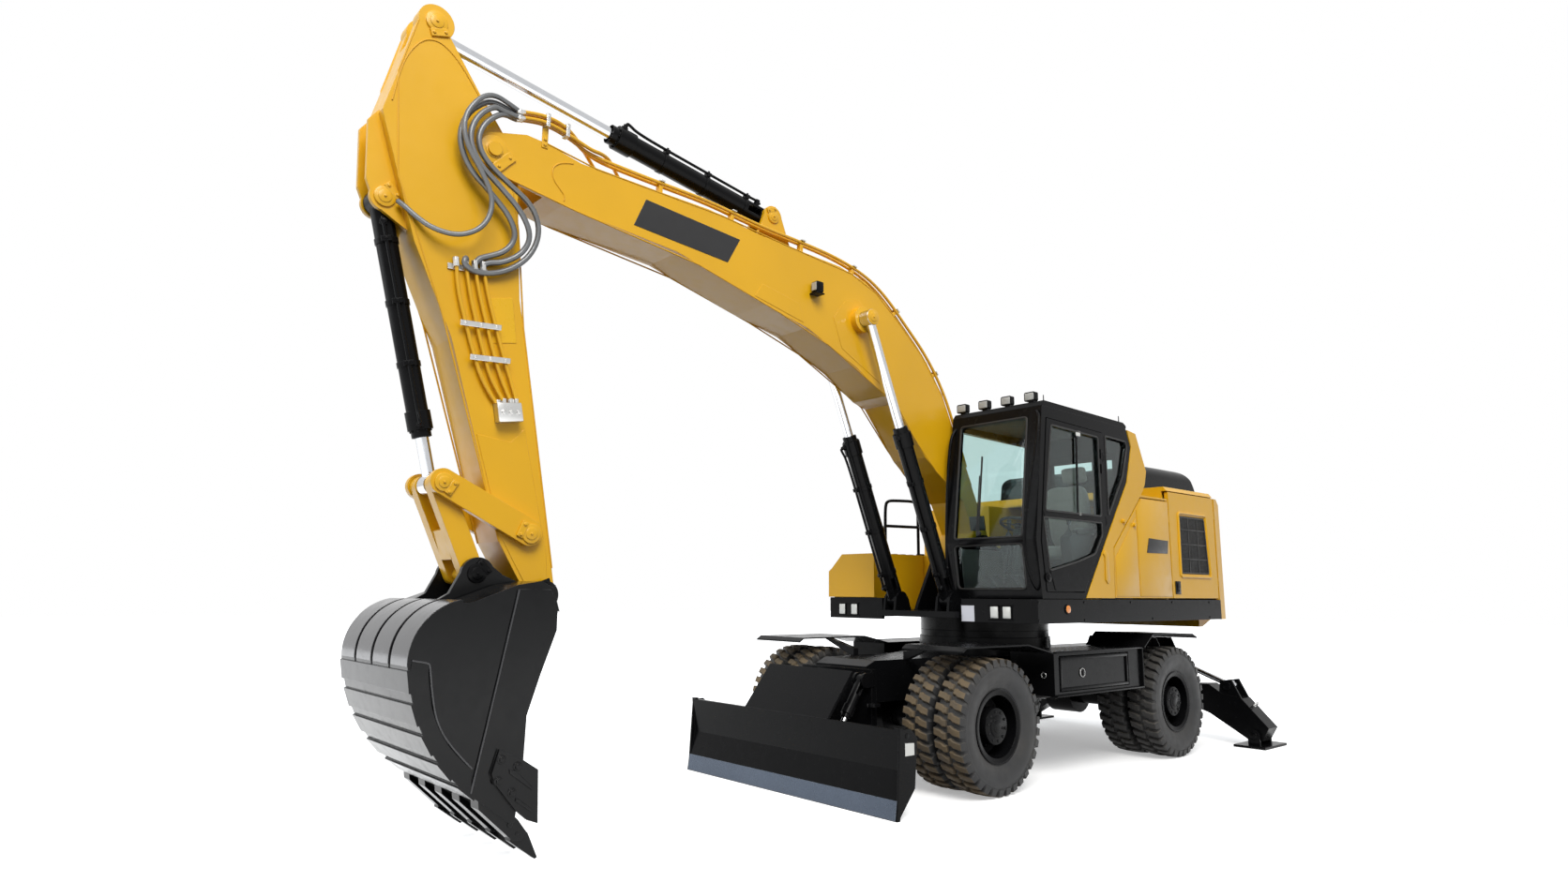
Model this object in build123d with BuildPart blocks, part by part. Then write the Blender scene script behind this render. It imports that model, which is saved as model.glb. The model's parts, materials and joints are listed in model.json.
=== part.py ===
"""Wheeled excavator, as separate solids in one frame.

Millimetres. +X points forward, +Y to the operator's left, +Z up. The origin is on the ground, under the slew axis.
Everything stands as parked: blade and outrigger pads on the ground, boom raised, arm hanging, bucket near the ground.
"""

import os
from math import cos, degrees, radians, sin

from build123d import *

os.makedirs("parts", exist_ok=True)

# ---------------------------------------------------------------- driving dimensions
pin_clear = 0.5  # radial play of every pin in its eye
side_clear = 5  # sideways gap between an eye and its lugs
body_clear = 8  # gap between panels that move past each other
bearing_gap = 0.3  # running gap of the slew ring

# door and lid hinges: round knuckles on a fixed pin, in the gap beside the panel
hinge_radius = 5.5
hinge_pin_radius = 2.5
hinge_play = 0.3
hinge_half = 45
knuckle_half = 25

# wheels
wheel_base = 2880
tyre_radius = 527.5
tyre_width = 275
bead_radius = 254
flange_radius = 285
twin_outer_y = 1110  # middle of the outer tyre
twin_inner_y = 790  # middle of the inner tyre
kingpin_y = 620
kingpin_radius = 32
hub_radius = 145
front_x = wheel_base / 2
rear_x = -wheel_base / 2
axle_z = tyre_radius

# chassis
frame_half_width = 340
frame_bottom_z = 660
frame_top_z = 1000
slew_ring_radius = 620
slew_ring_z = (1010, 1215)  # bottom and top of the fixed race and its seat
deck_bottom_z = 1345
deck_top_z = 1400

# upper body
skirt_bottom_z = 1312
skirt_top_z = 1515
skirt_front_x = 950
skirt_rear_x = -2470
body_half_width = 1250
boom_pivot = (280, 2000)  # x, z
boom_half_width = 200
cheek_thickness = 35

# working gear, x and z
arm_pivot = (5370, 4430)
boom_cylinder_foot = (930, 1500)
boom_cylinder_pin = (1940, 3950)
boom_cylinder_y = 320
arm_cylinder_foot = (2870, 4700)
arm_apex_pin = (5787, 5190)
bucket_cylinder_foot = (6000, 3948)
link_top_pin = (5560, 2200)
idler_pin = (4977, 1914)
link_low_pin = (5316, 1655)
bucket_pin = (4855, 1525)
arm_half_width = 170
bucket_half_width = 600
shoulder_inner_y = arm_half_width + 70

# eyes on the chassis
lashing_eye_x = 2085
lashing_eye_y = 460
lashing_eye_z = 655
lashing_eye_thickness = 25
lashing_hole_radius = 20
tow_eye_x = -3030
tow_eye_z = 780
tow_eye_half = 20
tow_hole_radius = 27

# blade
blade_pivot = (2110, 420)
blade_arm_y = 240
blade_cylinder_foot = (2110, 860)
blade_cylinder_pin = (2440, 380)
blade_cylinder_y = 370

# outriggers, y and z in the plane across the machine
outrigger_x = -2800
leg_pivot = (500, 520)
pad_pin = (1415, 115)
leg_cylinder_foot = (100, 1010)
leg_cylinder_pin = (1150, 600)

# cab
cab_inner_y = 255
cab_outer_y = body_half_width - 5
cab_floor_z = 1520
cab_wall = 60


# ---------------------------------------------------------------- shared forms
def save(piece, name):
    """Label one finished piece and write it to its own file."""
    piece.label = name
    export_step(piece, f"parts/{name}.step")


def side_plane(y):
    """The side view at a distance y to the left: x runs forward, z up."""
    return Plane.XZ.offset(-y)


def pin_plane(start, end, across):
    """A plane on the pin at start, facing the pin at end, with its x along the pins."""
    return Plane(origin=start, x_dir=across, z_dir=Vector(*end) - Vector(*start))


def cross_plane(plane, distance):
    """A plane through a pin eye, facing along the pin, at a distance along a cylinder's line."""
    return Plane(origin=plane.origin + plane.z_dir * distance, x_dir=plane.z_dir, z_dir=plane.x_dir)


def reach(start, end):
    """Distance between two pins."""
    return (Vector(*end) - Vector(*start)).length


def barrels(name, lines, tube_r, wall, length, eye_r, eye_width, pin_r):
    """Cylinder barrels on one pin line: foot eye, tube, gland head and an open bore for the rod."""
    collar, nose = 1.8 * tube_r, 0.7 * tube_r
    with BuildPart() as barrel:
        for start, end, across in lines:
            line = pin_plane(start, end, across)
            with BuildSketch(line):
                Circle(tube_r)
            extrude(amount=length - nose)
            with BuildSketch(line.offset(length - nose)):
                Circle(tube_r - wall / 2)
            extrude(amount=nose)
            with BuildSketch(line.offset(length - nose - collar)):
                Circle(tube_r + wall)
            extrude(amount=collar)
            with BuildSketch(cross_plane(line, 0)):
                Circle(eye_r)
            extrude(amount=eye_width / 2, both=True)
        for start, end, across in lines:
            line = pin_plane(start, end, across)
            with BuildSketch(line.offset(eye_r + wall)):
                Circle(tube_r - wall)
            extrude(amount=length, mode=Mode.SUBTRACT)
            with BuildSketch(cross_plane(line, 0)):
                Circle(pin_r + pin_clear)
            extrude(amount=eye_width, both=True, mode=Mode.SUBTRACT)
            for side in (-1, 1):
                with BuildSketch(cross_plane(line, 0).offset(side * eye_width / 2)):
                    Rectangle(6 * eye_r, 6 * eye_r)
                extrude(amount=side * 2 * tube_r, mode=Mode.SUBTRACT)
    save(barrel.part, name)


def rods(name, lines, rod_r, piston_r, rod_length, eye_r, eye_width):
    """Piston rods ending in an eye with its pin pressed in, one for each line."""
    piston = 2 * piston_r
    with BuildPart() as rod:
        for start, end, across in lines:
            line = pin_plane(start, end, across)
            full = reach(start, end)
            with BuildSketch(line.offset(full - rod_length)):
                Circle(rod_r)
            extrude(amount=rod_length)
            with BuildSketch(line.offset(full - rod_length)):
                Circle(piston_r)
            extrude(amount=piston * 0.6)
            with BuildSketch(cross_plane(line, full)):
                Circle(eye_r)
            extrude(amount=eye_width / 2, both=True)
    save(rod.part, name)


# ---------------------------------------------------------------- wheels
tyre_half = tyre_width / 2
for end_name, axle_x in (("front", front_x), ("rear", rear_x)):
    for side_name, side in (("left", 1), ("right", -1)):
        with BuildPart() as tyres:
            for middle_y in (twin_inner_y, twin_outer_y):
                with BuildSketch(Plane.YZ.offset(axle_x)):
                    with BuildLine():
                        low = (side * (middle_y - 90), axle_z + bead_radius)
                        high = (side * (middle_y + 90), axle_z + bead_radius)
                        flank_out = (side * (middle_y + 92), axle_z + flange_radius + 5)
                        flank_in = (side * (middle_y - 92), axle_z + flange_radius + 5)
                        shoulder_out = (side * (middle_y + tyre_half - 22), axle_z + tyre_radius - 30)
                        crown_out = (side * (middle_y + tyre_half - 42), axle_z + tyre_radius)
                        crown_in = (side * (middle_y - tyre_half + 42), axle_z + tyre_radius)
                        shoulder_in = (side * (middle_y - tyre_half + 22), axle_z + tyre_radius - 30)
                        Line(low, high)
                        Line(high, flank_out)
                        ThreePointArc(flank_out, (side * (middle_y + tyre_half), axle_z + 395), shoulder_out)
                        Line(shoulder_out, crown_out)
                        Line(crown_out, crown_in)
                        Line(crown_in, shoulder_in)
                        ThreePointArc(shoulder_in, (side * (middle_y - tyre_half), axle_z + 395), flank_in)
                        Line(flank_in, low)
                    make_face()
                revolve(axis=Axis((axle_x, 0, axle_z), (0, 1, 0)))
        save(tyres.part, f"tyres_{end_name}_{side_name}")

        # y from the machine's middle, radius
        rim_outline = [
            (twin_inner_y - 104, 285),
            (twin_inner_y - 94, 285),
            (twin_inner_y - 90, bead_radius),
            (twin_inner_y + 90, bead_radius),
            (twin_inner_y + 94, 285),
            (twin_outer_y - 94, 285),
            (twin_outer_y - 90, bead_radius),
            (twin_outer_y + 90, bead_radius),
            (twin_outer_y + 94, 285),
            (twin_outer_y + 104, 285),
            (twin_outer_y + 104, 272),
            (twin_outer_y + 95, 240),
            (twin_outer_y - 70, 236),
            (twin_outer_y - 90, hub_radius + 20),
            (twin_outer_y - 84, hub_radius),
            (twin_outer_y + 10, hub_radius),
            (twin_outer_y + 24, hub_radius - 16),
            (twin_outer_y + 24, 0),
            (twin_outer_y - 30, 0),
            (twin_outer_y - 30, 70.5),
            (twin_inner_y + 30, 70.5),
            (twin_inner_y + 30, hub_radius - 10),
            (twin_outer_y - 110, hub_radius - 10),
            (twin_outer_y - 110, 236),
            (twin_inner_y - 95, 240),
            (twin_inner_y - 104, 272),
        ]
        with BuildPart() as rims:
            with BuildSketch(Plane.YZ.offset(axle_x)):
                with BuildLine():
                    Polyline(*[(side * y, axle_z + r) for y, r in rim_outline], close=True)
                make_face()
            revolve(axis=Axis((axle_x, 0, axle_z), (0, 1, 0)))
        save(rims.part, f"rims_{end_name}_{side_name}")

# steering knuckles: kingpin body, spindle
for side_name, side in (("left", 1), ("right", -1)):
    with BuildPart() as knuckle:
        with BuildSketch(Plane.XY.offset(axle_z - 120)):
            with Locations((front_x, side * kingpin_y)):
                Circle(62)
        extrude(amount=240)
        with BuildSketch(Plane.XZ.offset(-side * kingpin_y)):
            with Locations((front_x, axle_z)):
                Circle(70)
        extrude(amount=-side * (twin_outer_y - 40 - kingpin_y))
        with BuildSketch(Plane.XY.offset(axle_z - 260)):
            with Locations((front_x, side * kingpin_y)):
                Circle(kingpin_radius)
        extrude(amount=520)
    save(knuckle.part, f"knuckle_{side_name}")

# axle housings with their differentials; the front one ends in kingpin forks
with BuildPart() as axles:
    for axle_x, beam_y in ((front_x, 510), (rear_x, twin_outer_y - 40)):
        with BuildSketch(Plane.XZ.offset(-beam_y)):
            with Locations((axle_x, axle_z)):
                Circle(70)
        extrude(amount=2 * beam_y)
        with BuildSketch(Plane.XZ.offset(-500)):
            with Locations((axle_x, axle_z)):
                Circle(105)
        extrude(amount=1000)
        with BuildSketch(Plane.XZ.offset(-150)):
            with Locations((axle_x, axle_z)):
                Circle(205)
        extrude(amount=300)
        for side in (-1, 1):
            with BuildSketch(Plane.XY.offset(axle_z)):
                with Locations((axle_x, side * 250)):
                    Rectangle(120, 130)
            extrude(amount=frame_bottom_z - axle_z)
    for side in (-1, 1):
        fork_y = kingpin_y - 60
        with BuildSketch(Plane.YZ.offset(front_x)):
            with Locations((side * 520, axle_z)):
                Rectangle(40, 420)
            for tip in (-1, 1):
                with Locations((side * (kingpin_y - 20), axle_z + tip * 165)):
                    Rectangle(170, 70)
        extrude(amount=62, both=True)
        with BuildSketch(Plane.XY.offset(axle_z - 300)):
            with Locations((front_x, side * kingpin_y)):
                Circle(kingpin_radius + pin_clear)
        extrude(amount=600, mode=Mode.SUBTRACT)
save(axles.part, "axles")

# gearbox under the frame and the two propeller shafts
with BuildPart() as driveline:
    with BuildSketch(Plane.XY.offset(frame_bottom_z)):
        with Locations((-150, 0)):
            Rectangle(420, 360)
    extrude(amount=-230)
    for start_x, end_x in ((60, front_x - 205), (-360, rear_x + 205)):
        with BuildSketch(Plane.YZ.offset(start_x)):
            with Locations((0, axle_z)):
                Circle(42)
        extrude(amount=end_x - start_x)
        for joint_x in (start_x, end_x):
            inward = 90 if joint_x < (start_x + end_x) / 2 else -90
            with BuildSketch(Plane.YZ.offset(joint_x)):
                with Locations((0, axle_z)):
                    Circle(72)
            extrude(amount=inward)
save(driveline.part, "driveline")

# ---------------------------------------------------------------- chassis
bracket_front_x = 2050
bracket_half = 420
bracket_rear_x = outrigger_x + 180
with BuildPart() as chassis:
    with BuildSketch(Plane.XY.offset(frame_bottom_z)):
        with BuildLine():
            Polyline(
                (bracket_front_x - 60, 300),
                (1000, frame_half_width),
                (620, 520),
                (-620, 520),
                (-1000, frame_half_width),
                (bracket_rear_x, frame_half_width),
                (bracket_rear_x, -frame_half_width),
                (-1000, -frame_half_width),
                (-620, -520),
                (620, -520),
                (1000, -frame_half_width),
                (bracket_front_x - 60, -300),
                close=True,
            )
        make_face()
    extrude(amount=frame_top_z - frame_bottom_z)
    for axle_x in (front_x, rear_x):
        with BuildSketch(Plane.XZ):
            with Locations((axle_x, axle_z)):
                Circle(220)
        extrude(amount=165, both=True, mode=Mode.SUBTRACT)
    # front end of the frame slopes down, clear of the raised blade's guard plate
    with BuildSketch(Plane.XZ):
        Polygon((1880, frame_top_z + 1), (2051, 930), (2051, frame_top_z + 1), align=None)
    extrude(amount=frame_half_width, both=True, mode=Mode.SUBTRACT)
    with BuildSketch(Plane.XY.offset(frame_top_z)):
        Circle(slew_ring_radius + 20)
    extrude(amount=slew_ring_z[1] - 60 - frame_top_z, taper=3)
    with BuildSketch(Plane.XY.offset(slew_ring_z[1] - 60)):
        Circle(slew_ring_radius)
    extrude(amount=60)
    # outriggers to the tool boxes and mudguards
    for side in (-1, 1):
        for carrier_x in (550, -720):
            with BuildSketch(Plane.XY.offset(frame_top_z - 160)):
                with Locations((carrier_x, side * 600)):
                    Rectangle(120, 320)
            extrude(amount=120)
save(chassis.part, "chassis_frame")

# blade bracket across the front of the frame, with its lugs, pins and lashing eyes
with BuildPart() as bracket:
    with BuildSketch(Plane.YZ.offset(bracket_front_x - 60)):
        with Locations((0, 640)):
            Rectangle(2 * bracket_half, 600)
    extrude(amount=60)
    for side in (-1, 1):
        lugs = (
            (blade_arm_y, 40, blade_pivot, 32),
            (blade_cylinder_y, 30, blade_cylinder_foot, 25),
        )
        for lug_y, half, (pin_x, pin_z), pin_r in lugs:
            for lug_side in (-1, 1):
                lug_middle = side * lug_y + lug_side * (half + side_clear + 10)
                with BuildSketch(side_plane(lug_middle)):
                    with Locations((pin_x, pin_z)):
                        Circle(58)
                    with Locations(((pin_x + bracket_front_x - 30) / 2, pin_z)):
                        Rectangle(pin_x - bracket_front_x + 30, 116)
                extrude(amount=10, both=True)
            with BuildSketch(side_plane(side * lug_y)):
                with Locations((pin_x, pin_z)):
                    Circle(pin_r)
            extrude(amount=half + side_clear + 15, both=True)
    # flat eyes for lashing on the bracket's front corners
    for side in (-1, 1):
        with BuildSketch(Plane.XY.offset(lashing_eye_z)):
            with Locations((lashing_eye_x, side * lashing_eye_y)):
                Circle(2 * lashing_hole_radius)
            with Locations(((lashing_eye_x + bracket_front_x - 20) / 2, side * lashing_eye_y)):
                Rectangle(lashing_eye_x - bracket_front_x + 20, 4 * lashing_hole_radius)
            with Locations(((bracket_front_x - 10), side * (bracket_half + lashing_eye_y) / 2)):
                Rectangle(20, lashing_eye_y - bracket_half + 10)
            with Locations((lashing_eye_x, side * lashing_eye_y)):
                Circle(lashing_hole_radius, mode=Mode.SUBTRACT)
        extrude(amount=lashing_eye_thickness)
save(bracket.part, "blade_bracket")

# outrigger frame across the rear: two plates with the leg and cylinder pins between them
with BuildPart() as outrigger_frame:
    for plate_x in (outrigger_x - 180, outrigger_x + 165):
        with BuildSketch(Plane.YZ.offset(plate_x)):
            with BuildLine():
                Polyline(
                    (-620, 420),
                    (620, 420),
                    (640, 560),
                    (420, 1080),
                    (-420, 1080),
                    (-640, 560),
                    close=True,
                )
            make_face()
        extrude(amount=15)
    with BuildSketch(Plane.YZ.offset(outrigger_x - 170)):
        with Locations((0, 790)):
            Rectangle(300, 200)
    extrude(amount=340)
    for side in (-1, 1):
        for (pin_y, pin_z), pin_r in ((leg_pivot, 35), (leg_cylinder_foot, 30)):
            with BuildSketch(Plane.YZ.offset(outrigger_x - 180)):
                with Locations((side * pin_y, pin_z)):
                    Circle(pin_r)
            extrude(amount=360)
    # upright eye for towing at the rear
    with BuildSketch(side_plane(0)):
        with Locations((tow_eye_x, tow_eye_z)):
            Circle(2 * tow_hole_radius)
        with Locations(((tow_eye_x + outrigger_x - 175) / 2, tow_eye_z)):
            Rectangle(outrigger_x - 175 - tow_eye_x, 4 * tow_hole_radius)
        with Locations((tow_eye_x, tow_eye_z)):
            Circle(tow_hole_radius, mode=Mode.SUBTRACT)
    extrude(amount=tow_eye_half, both=True)
save(outrigger_frame.part, "outrigger_frame")

# mudguards: flat plates with a down-turned end, x and z of the top side, from front to rear
with BuildPart() as mudguards:
    for side in (-1, 1):
        for points in (
            ((1900, 1120), (1850, 1150), (1050, 1150), (700, 1075)),
            ((-830, 1075), (-1010, 1195), (-1810, 1175), (-1900, 1140)),
        ):
            with BuildSketch(side_plane(side * 930)):
                with BuildLine():
                    top = [(x, z) for x, z in points]
                    under = [(x, z - 12) for x, z in reversed(points)]
                    Polyline(*top, *under, close=True)
                make_face()
            extrude(amount=310, both=True)
        for strut_x, strut_z in ((1500, 1144), (-1500, 1176)):
            with BuildSketch(Plane.YZ.offset(strut_x)):
                with BuildLine():
                    Polyline(
                        (side * 300, frame_top_z),
                        (side * 300, frame_top_z + 60),
                        (side * 640, strut_z),
                        (side * 700, strut_z),
                        (side * 340, frame_top_z),
                        close=True,
                    )
                make_face()
            extrude(amount=30, both=True)
save(mudguards.part, "mudguards")

# tool boxes between the axles, open towards their doors, over a channel step
box_front_x, box_rear_x, box_outer_y, box_inner_y = 630, -820, 1200, 760
box_bottom_z, box_top_z, box_wall = 700, 1070, 20
door_x = (560, -590)
sill_z = box_bottom_z + 35
toolbox_hinges = (380, -410)
toolbox_hinge_y = box_outer_y - 12
toolbox_hinge_z = sill_z + hinge_radius + 0.5
with BuildPart() as tool_boxes:
    for side in (-1, 1):
        box_middle = ((box_front_x + box_rear_x) / 2, side * (box_outer_y + box_inner_y) / 2)
        with BuildSketch(Plane.XY.offset(box_bottom_z)):
            with Locations(box_middle):
                Rectangle(box_front_x - box_rear_x, box_outer_y - box_inner_y)
        extrude(amount=box_top_z - box_bottom_z)
        with BuildSketch(side_plane(side * (box_inner_y + box_wall))):
            with Locations(((door_x[0] + door_x[1]) / 2, (box_bottom_z + box_top_z) / 2)):
                Rectangle(door_x[0] - door_x[1], box_top_z - box_bottom_z - 70)
        extrude(amount=-side * box_outer_y, mode=Mode.SUBTRACT)
        # pins of the bottom hinges, each between two lugs on the opening's sill
        for hinge_x in toolbox_hinges:
            for end in (-1, 1):
                with BuildSketch(Plane.YZ.offset(hinge_x + end * (knuckle_half + hinge_play + 6))):
                    with Locations((side * toolbox_hinge_y, toolbox_hinge_z)):
                        Circle(hinge_radius)
                    with Locations((side * toolbox_hinge_y, (toolbox_hinge_z + sill_z) / 2)):
                        Rectangle(2 * hinge_radius, toolbox_hinge_z - sill_z)
                extrude(amount=6, both=True)
            with BuildSketch(Plane.YZ.offset(hinge_x)):
                with Locations((side * toolbox_hinge_y, toolbox_hinge_z)):
                    Circle(hinge_pin_radius)
            extrude(amount=knuckle_half + 8, both=True)
save(tool_boxes.part, "tool_boxes")
for side_name, side in (("left", 1), ("right", -1)):
    with BuildPart() as door:
        with BuildSketch(side_plane(side * (box_outer_y - 30))):
            with Locations(((door_x[0] + door_x[1]) / 2, (box_bottom_z + box_top_z) / 2 + 3)):
                Rectangle(door_x[0] - door_x[1] - 2 * body_clear, box_top_z - box_bottom_z - 92)
        extrude(amount=-side * 20)
        for hinge_x in toolbox_hinges:
            with BuildSketch(Plane.YZ.offset(hinge_x)):
                with Locations((side * toolbox_hinge_y, toolbox_hinge_z)):
                    Circle(hinge_radius + hinge_play)
            extrude(amount=knuckle_half + 14, both=True, mode=Mode.SUBTRACT)
            with BuildSketch(Plane.YZ.offset(hinge_x)):
                with Locations((side * toolbox_hinge_y, toolbox_hinge_z)):
                    Circle(hinge_radius)
                with Locations((side * toolbox_hinge_y, toolbox_hinge_z + hinge_radius)):
                    Rectangle(2 * hinge_radius - 2, 2 * hinge_radius)
                with Locations((side * toolbox_hinge_y, toolbox_hinge_z)):
                    Circle(hinge_pin_radius + hinge_play, mode=Mode.SUBTRACT)
            extrude(amount=knuckle_half, both=True)
    save(door.part, f"toolbox_door_{side_name}")

# ---------------------------------------------------------------- blade
with BuildPart() as blade:
    with BuildSketch(Plane.XZ):
        with BuildLine():
            Polyline(
                (2670, 0),
                (2651, 140),
                (2606, 330),
                (2635, 608),
                (2600, 608),
                (2570, 330),
                (2615, 140),
                (2640, 0),
                close=True,
            )
        make_face()
    extrude(amount=body_half_width, both=True)
    for side in (-1, 1):
        with BuildSketch(side_plane(side * (body_half_width - 8))):
            with BuildLine():
                Polyline((2640, 20), (2660, 60), (2630, 608), (2520, 608), (2450, 540), (2480, 200), close=True)
            make_face()
        extrude(amount=8, both=True)
        with BuildSketch(side_plane(side * blade_arm_y)):
            with Locations(blade_pivot):
                Circle(60)
            with BuildLine():
                Polyline((2110, 480), (2590, 480), (2585, 210), (2110, 360), close=True)
            make_face()
        extrude(amount=40, both=True)
        with BuildSketch(side_plane(side * blade_arm_y)):
            with Locations(blade_pivot):
                Circle(32 + pin_clear)
        extrude(amount=50, both=True, mode=Mode.SUBTRACT)
        for lug_side in (-1, 1):
            lug_middle = side * blade_cylinder_y + lug_side * (30 + side_clear + 10)
            with BuildSketch(side_plane(lug_middle)):
                with BuildLine():
                    Polyline((2390, 430), (2590, 470), (2580, 290), (2390, 330), close=True)
                make_face()
            extrude(amount=10, both=True)
    # guard plate sloping back over the cylinders
    with BuildSketch(Plane.XZ):
        with BuildLine():
            Polyline((2600, 600), (2632, 600), (2352, 950), (2332, 935), close=True)
        make_face()
    extrude(amount=500, both=True)
save(blade.part, "blade")

blade_lines = [
    (
        (blade_cylinder_foot[0], side * blade_cylinder_y, blade_cylinder_foot[1]),
        (blade_cylinder_pin[0], side * blade_cylinder_y, blade_cylinder_pin[1]),
        (0, 1, 0),
    )
    for side in (-1, 1)
]
barrels("blade_cylinder_barrels", blade_lines, 42, 8, 340, 45, 60, 25)
rods("blade_cylinder_rods", blade_lines, 22, 33, 370, 38, 60)

# ---------------------------------------------------------------- outriggers
for side_name, side in (("left", 1), ("right", -1)):
    with BuildPart() as leg:
        with BuildSketch(Plane.YZ.offset(outrigger_x)):
            with BuildLine():
                leg_outline = [
                    (440, 560),
                    (440, 470),
                    (520, 440),
                    (950, 300),
                    (1340, 70),
                    (1480, 60),
                    (1560, 200),
                    (1300, 480),
                    (1090, 520),
                    (950, 610),
                    (540, 590),
                ]
                Polyline(*[(side * y, z) for y, z in leg_outline], close=True)
            make_face()
        extrude(amount=110, both=True)
        for lug_x in (outrigger_x - 90, outrigger_x + 90):
            with BuildSketch(Plane.YZ.offset(lug_x)):
                with BuildLine():
                    Polyline(
                        (side * 1060, 500),
                        (side * 1080, 650),
                        (side * 1200, 670),
                        (side * 1300, 470),
                        close=True,
                    )
                make_face()
            extrude(amount=12, both=True)
        with BuildSketch(Plane.YZ.offset(outrigger_x)):
            with Locations((side * leg_pivot[0], leg_pivot[1])):
                Circle(80)
        extrude(amount=155, both=True)
        with BuildSketch(Plane.YZ.offset(outrigger_x)):
            with Locations((side * leg_pivot[0], leg_pivot[1])):
                Circle(35 + pin_clear)
            with Locations((side * pad_pin[0], pad_pin[1])):
                Circle(30 + pin_clear)
        extrude(amount=200, both=True, mode=Mode.SUBTRACT)
    save(leg.part, f"outrigger_leg_{side_name}")

    with BuildPart() as pad:
        with BuildSketch(Plane.XY):
            with Locations((outrigger_x, side * pad_pin[0])):
                Rectangle(540, 320)
        extrude(amount=25)
        for lug_x in (outrigger_x - 135, outrigger_x + 135):
            with BuildSketch(Plane.YZ.offset(lug_x)):
                with Locations((side * pad_pin[0], pad_pin[1])):
                    Circle(60)
                with Locations((side * pad_pin[0], 60)):
                    Rectangle(120, 110)
            extrude(amount=14, both=True)
        with BuildSketch(Plane.YZ.offset(outrigger_x - 150)):
            with Locations((side * pad_pin[0], pad_pin[1])):
                Circle(30)
        extrude(amount=300)
    save(pad.part, f"outrigger_pad_{side_name}")

    leg_line = [
        (
            (outrigger_x, side * leg_cylinder_foot[0], leg_cylinder_foot[1]),
            (outrigger_x, side * leg_cylinder_pin[0], leg_cylinder_pin[1]),
            (1, 0, 0),
        )
    ]
    barrels(f"outrigger_barrel_{side_name}", leg_line, 60, 10, 680, 60, 84, 30)
    rods(f"outrigger_rod_{side_name}", leg_line, 30, 49, 660, 52, 84)

# ---------------------------------------------------------------- revolving frame
cheek_inner_y = boom_half_width + 10
cylinder_eye_half = 50
with BuildPart() as upper:
    with BuildSketch(Plane.XY.offset(slew_ring_z[1] + bearing_gap)):
        Circle(slew_ring_radius)
    extrude(amount=deck_bottom_z - slew_ring_z[1] - bearing_gap)
    with BuildSketch(Plane.XY.offset(deck_bottom_z)):
        with BuildLine():
            Polyline(
                (skirt_front_x - 30, 1215),
                (skirt_front_x - 30, 470),
                (1030, 470),
                (1030, -470),
                (skirt_front_x - 30, -470),
                (skirt_front_x - 30, -1215),
                (skirt_rear_x, -1215),
                (skirt_rear_x, 1215),
                close=True,
            )
        make_face()
    extrude(amount=deck_top_z - deck_bottom_z)
    # skirts along both sides and across the front corners
    for side in (-1, 1):
        with BuildSketch(Plane.XY.offset(skirt_bottom_z)):
            with BuildLine():
                Polyline(
                    (skirt_rear_x, side * body_half_width),
                    (skirt_front_x - 40, side * body_half_width),
                    (skirt_front_x, side * (body_half_width - 40)),
                    (skirt_front_x, side * 480),
                    (skirt_front_x - 30, side * 480),
                    (skirt_front_x - 30, side * (body_half_width - 50)),
                    (skirt_front_x - 50, side * (body_half_width - 30)),
                    (skirt_rear_x, side * (body_half_width - 30)),
                    close=True,
                )
            make_face()
        extrude(amount=skirt_top_z - skirt_bottom_z)
    # boom cheeks with the foot pin, and lugs for the boom cylinders
    for side in (-1, 1):
        with BuildSketch(side_plane(side * (cheek_inner_y + cheek_thickness / 2))):
            with BuildLine():
                Polyline(
                    (-1500, deck_top_z),
                    (760, deck_top_z),
                    (700, 1520),
                    (400, 2060),
                    (330, 2120),
                    (230, 2120),
                    (160, 2060),
                    (-700, 1620),
                    (-1500, 1500),
                    close=True,
                )
            make_face()
        extrude(amount=cheek_thickness / 2, both=True)
        for lug_side in (-1, 1):
            lug_middle = side * boom_cylinder_y + lug_side * (cylinder_eye_half + side_clear + 12)
            with BuildSketch(side_plane(lug_middle)):
                with BuildLine():
                    Polyline((800, deck_top_z), (1030, deck_top_z), (1010, 1530), (850, 1530), close=True)
                make_face()
                with Locations(boom_cylinder_foot):
                    Circle(78)
            extrude(amount=12, both=True)
        with BuildSketch(side_plane(side * boom_cylinder_y)):
            with Locations(boom_cylinder_foot):
                Circle(45)
        extrude(amount=cylinder_eye_half + side_clear + 24, both=True)
    with BuildSketch(Plane.XZ):
        with Locations(boom_pivot):
            Circle(50)
    extrude(amount=cheek_inner_y + cheek_thickness, both=True)
save(upper.part, "revolving_frame")

# ---------------------------------------------------------------- body panels
panel = 40
panel_y = body_half_width - 5  # outer face of the side panels
door_bottom_z, seam_x, rear_seam_x = 1530, -1440, -2440
side_top_z, hood_side_z = 2505, 2610
pillar_outline = [
    (146, 1527),
    (-323, 2173),
    (-662, 2631),
    (-775, 2986),
    (-712, 3150),
    (-867, 3130),
    (-1038, 2770),
    (-996, 2632),
    (-905, 2519),
    (-352, 2000),
    (-333, 1527),
]
side_hinge_y = panel_y - hinge_radius + 2
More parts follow.
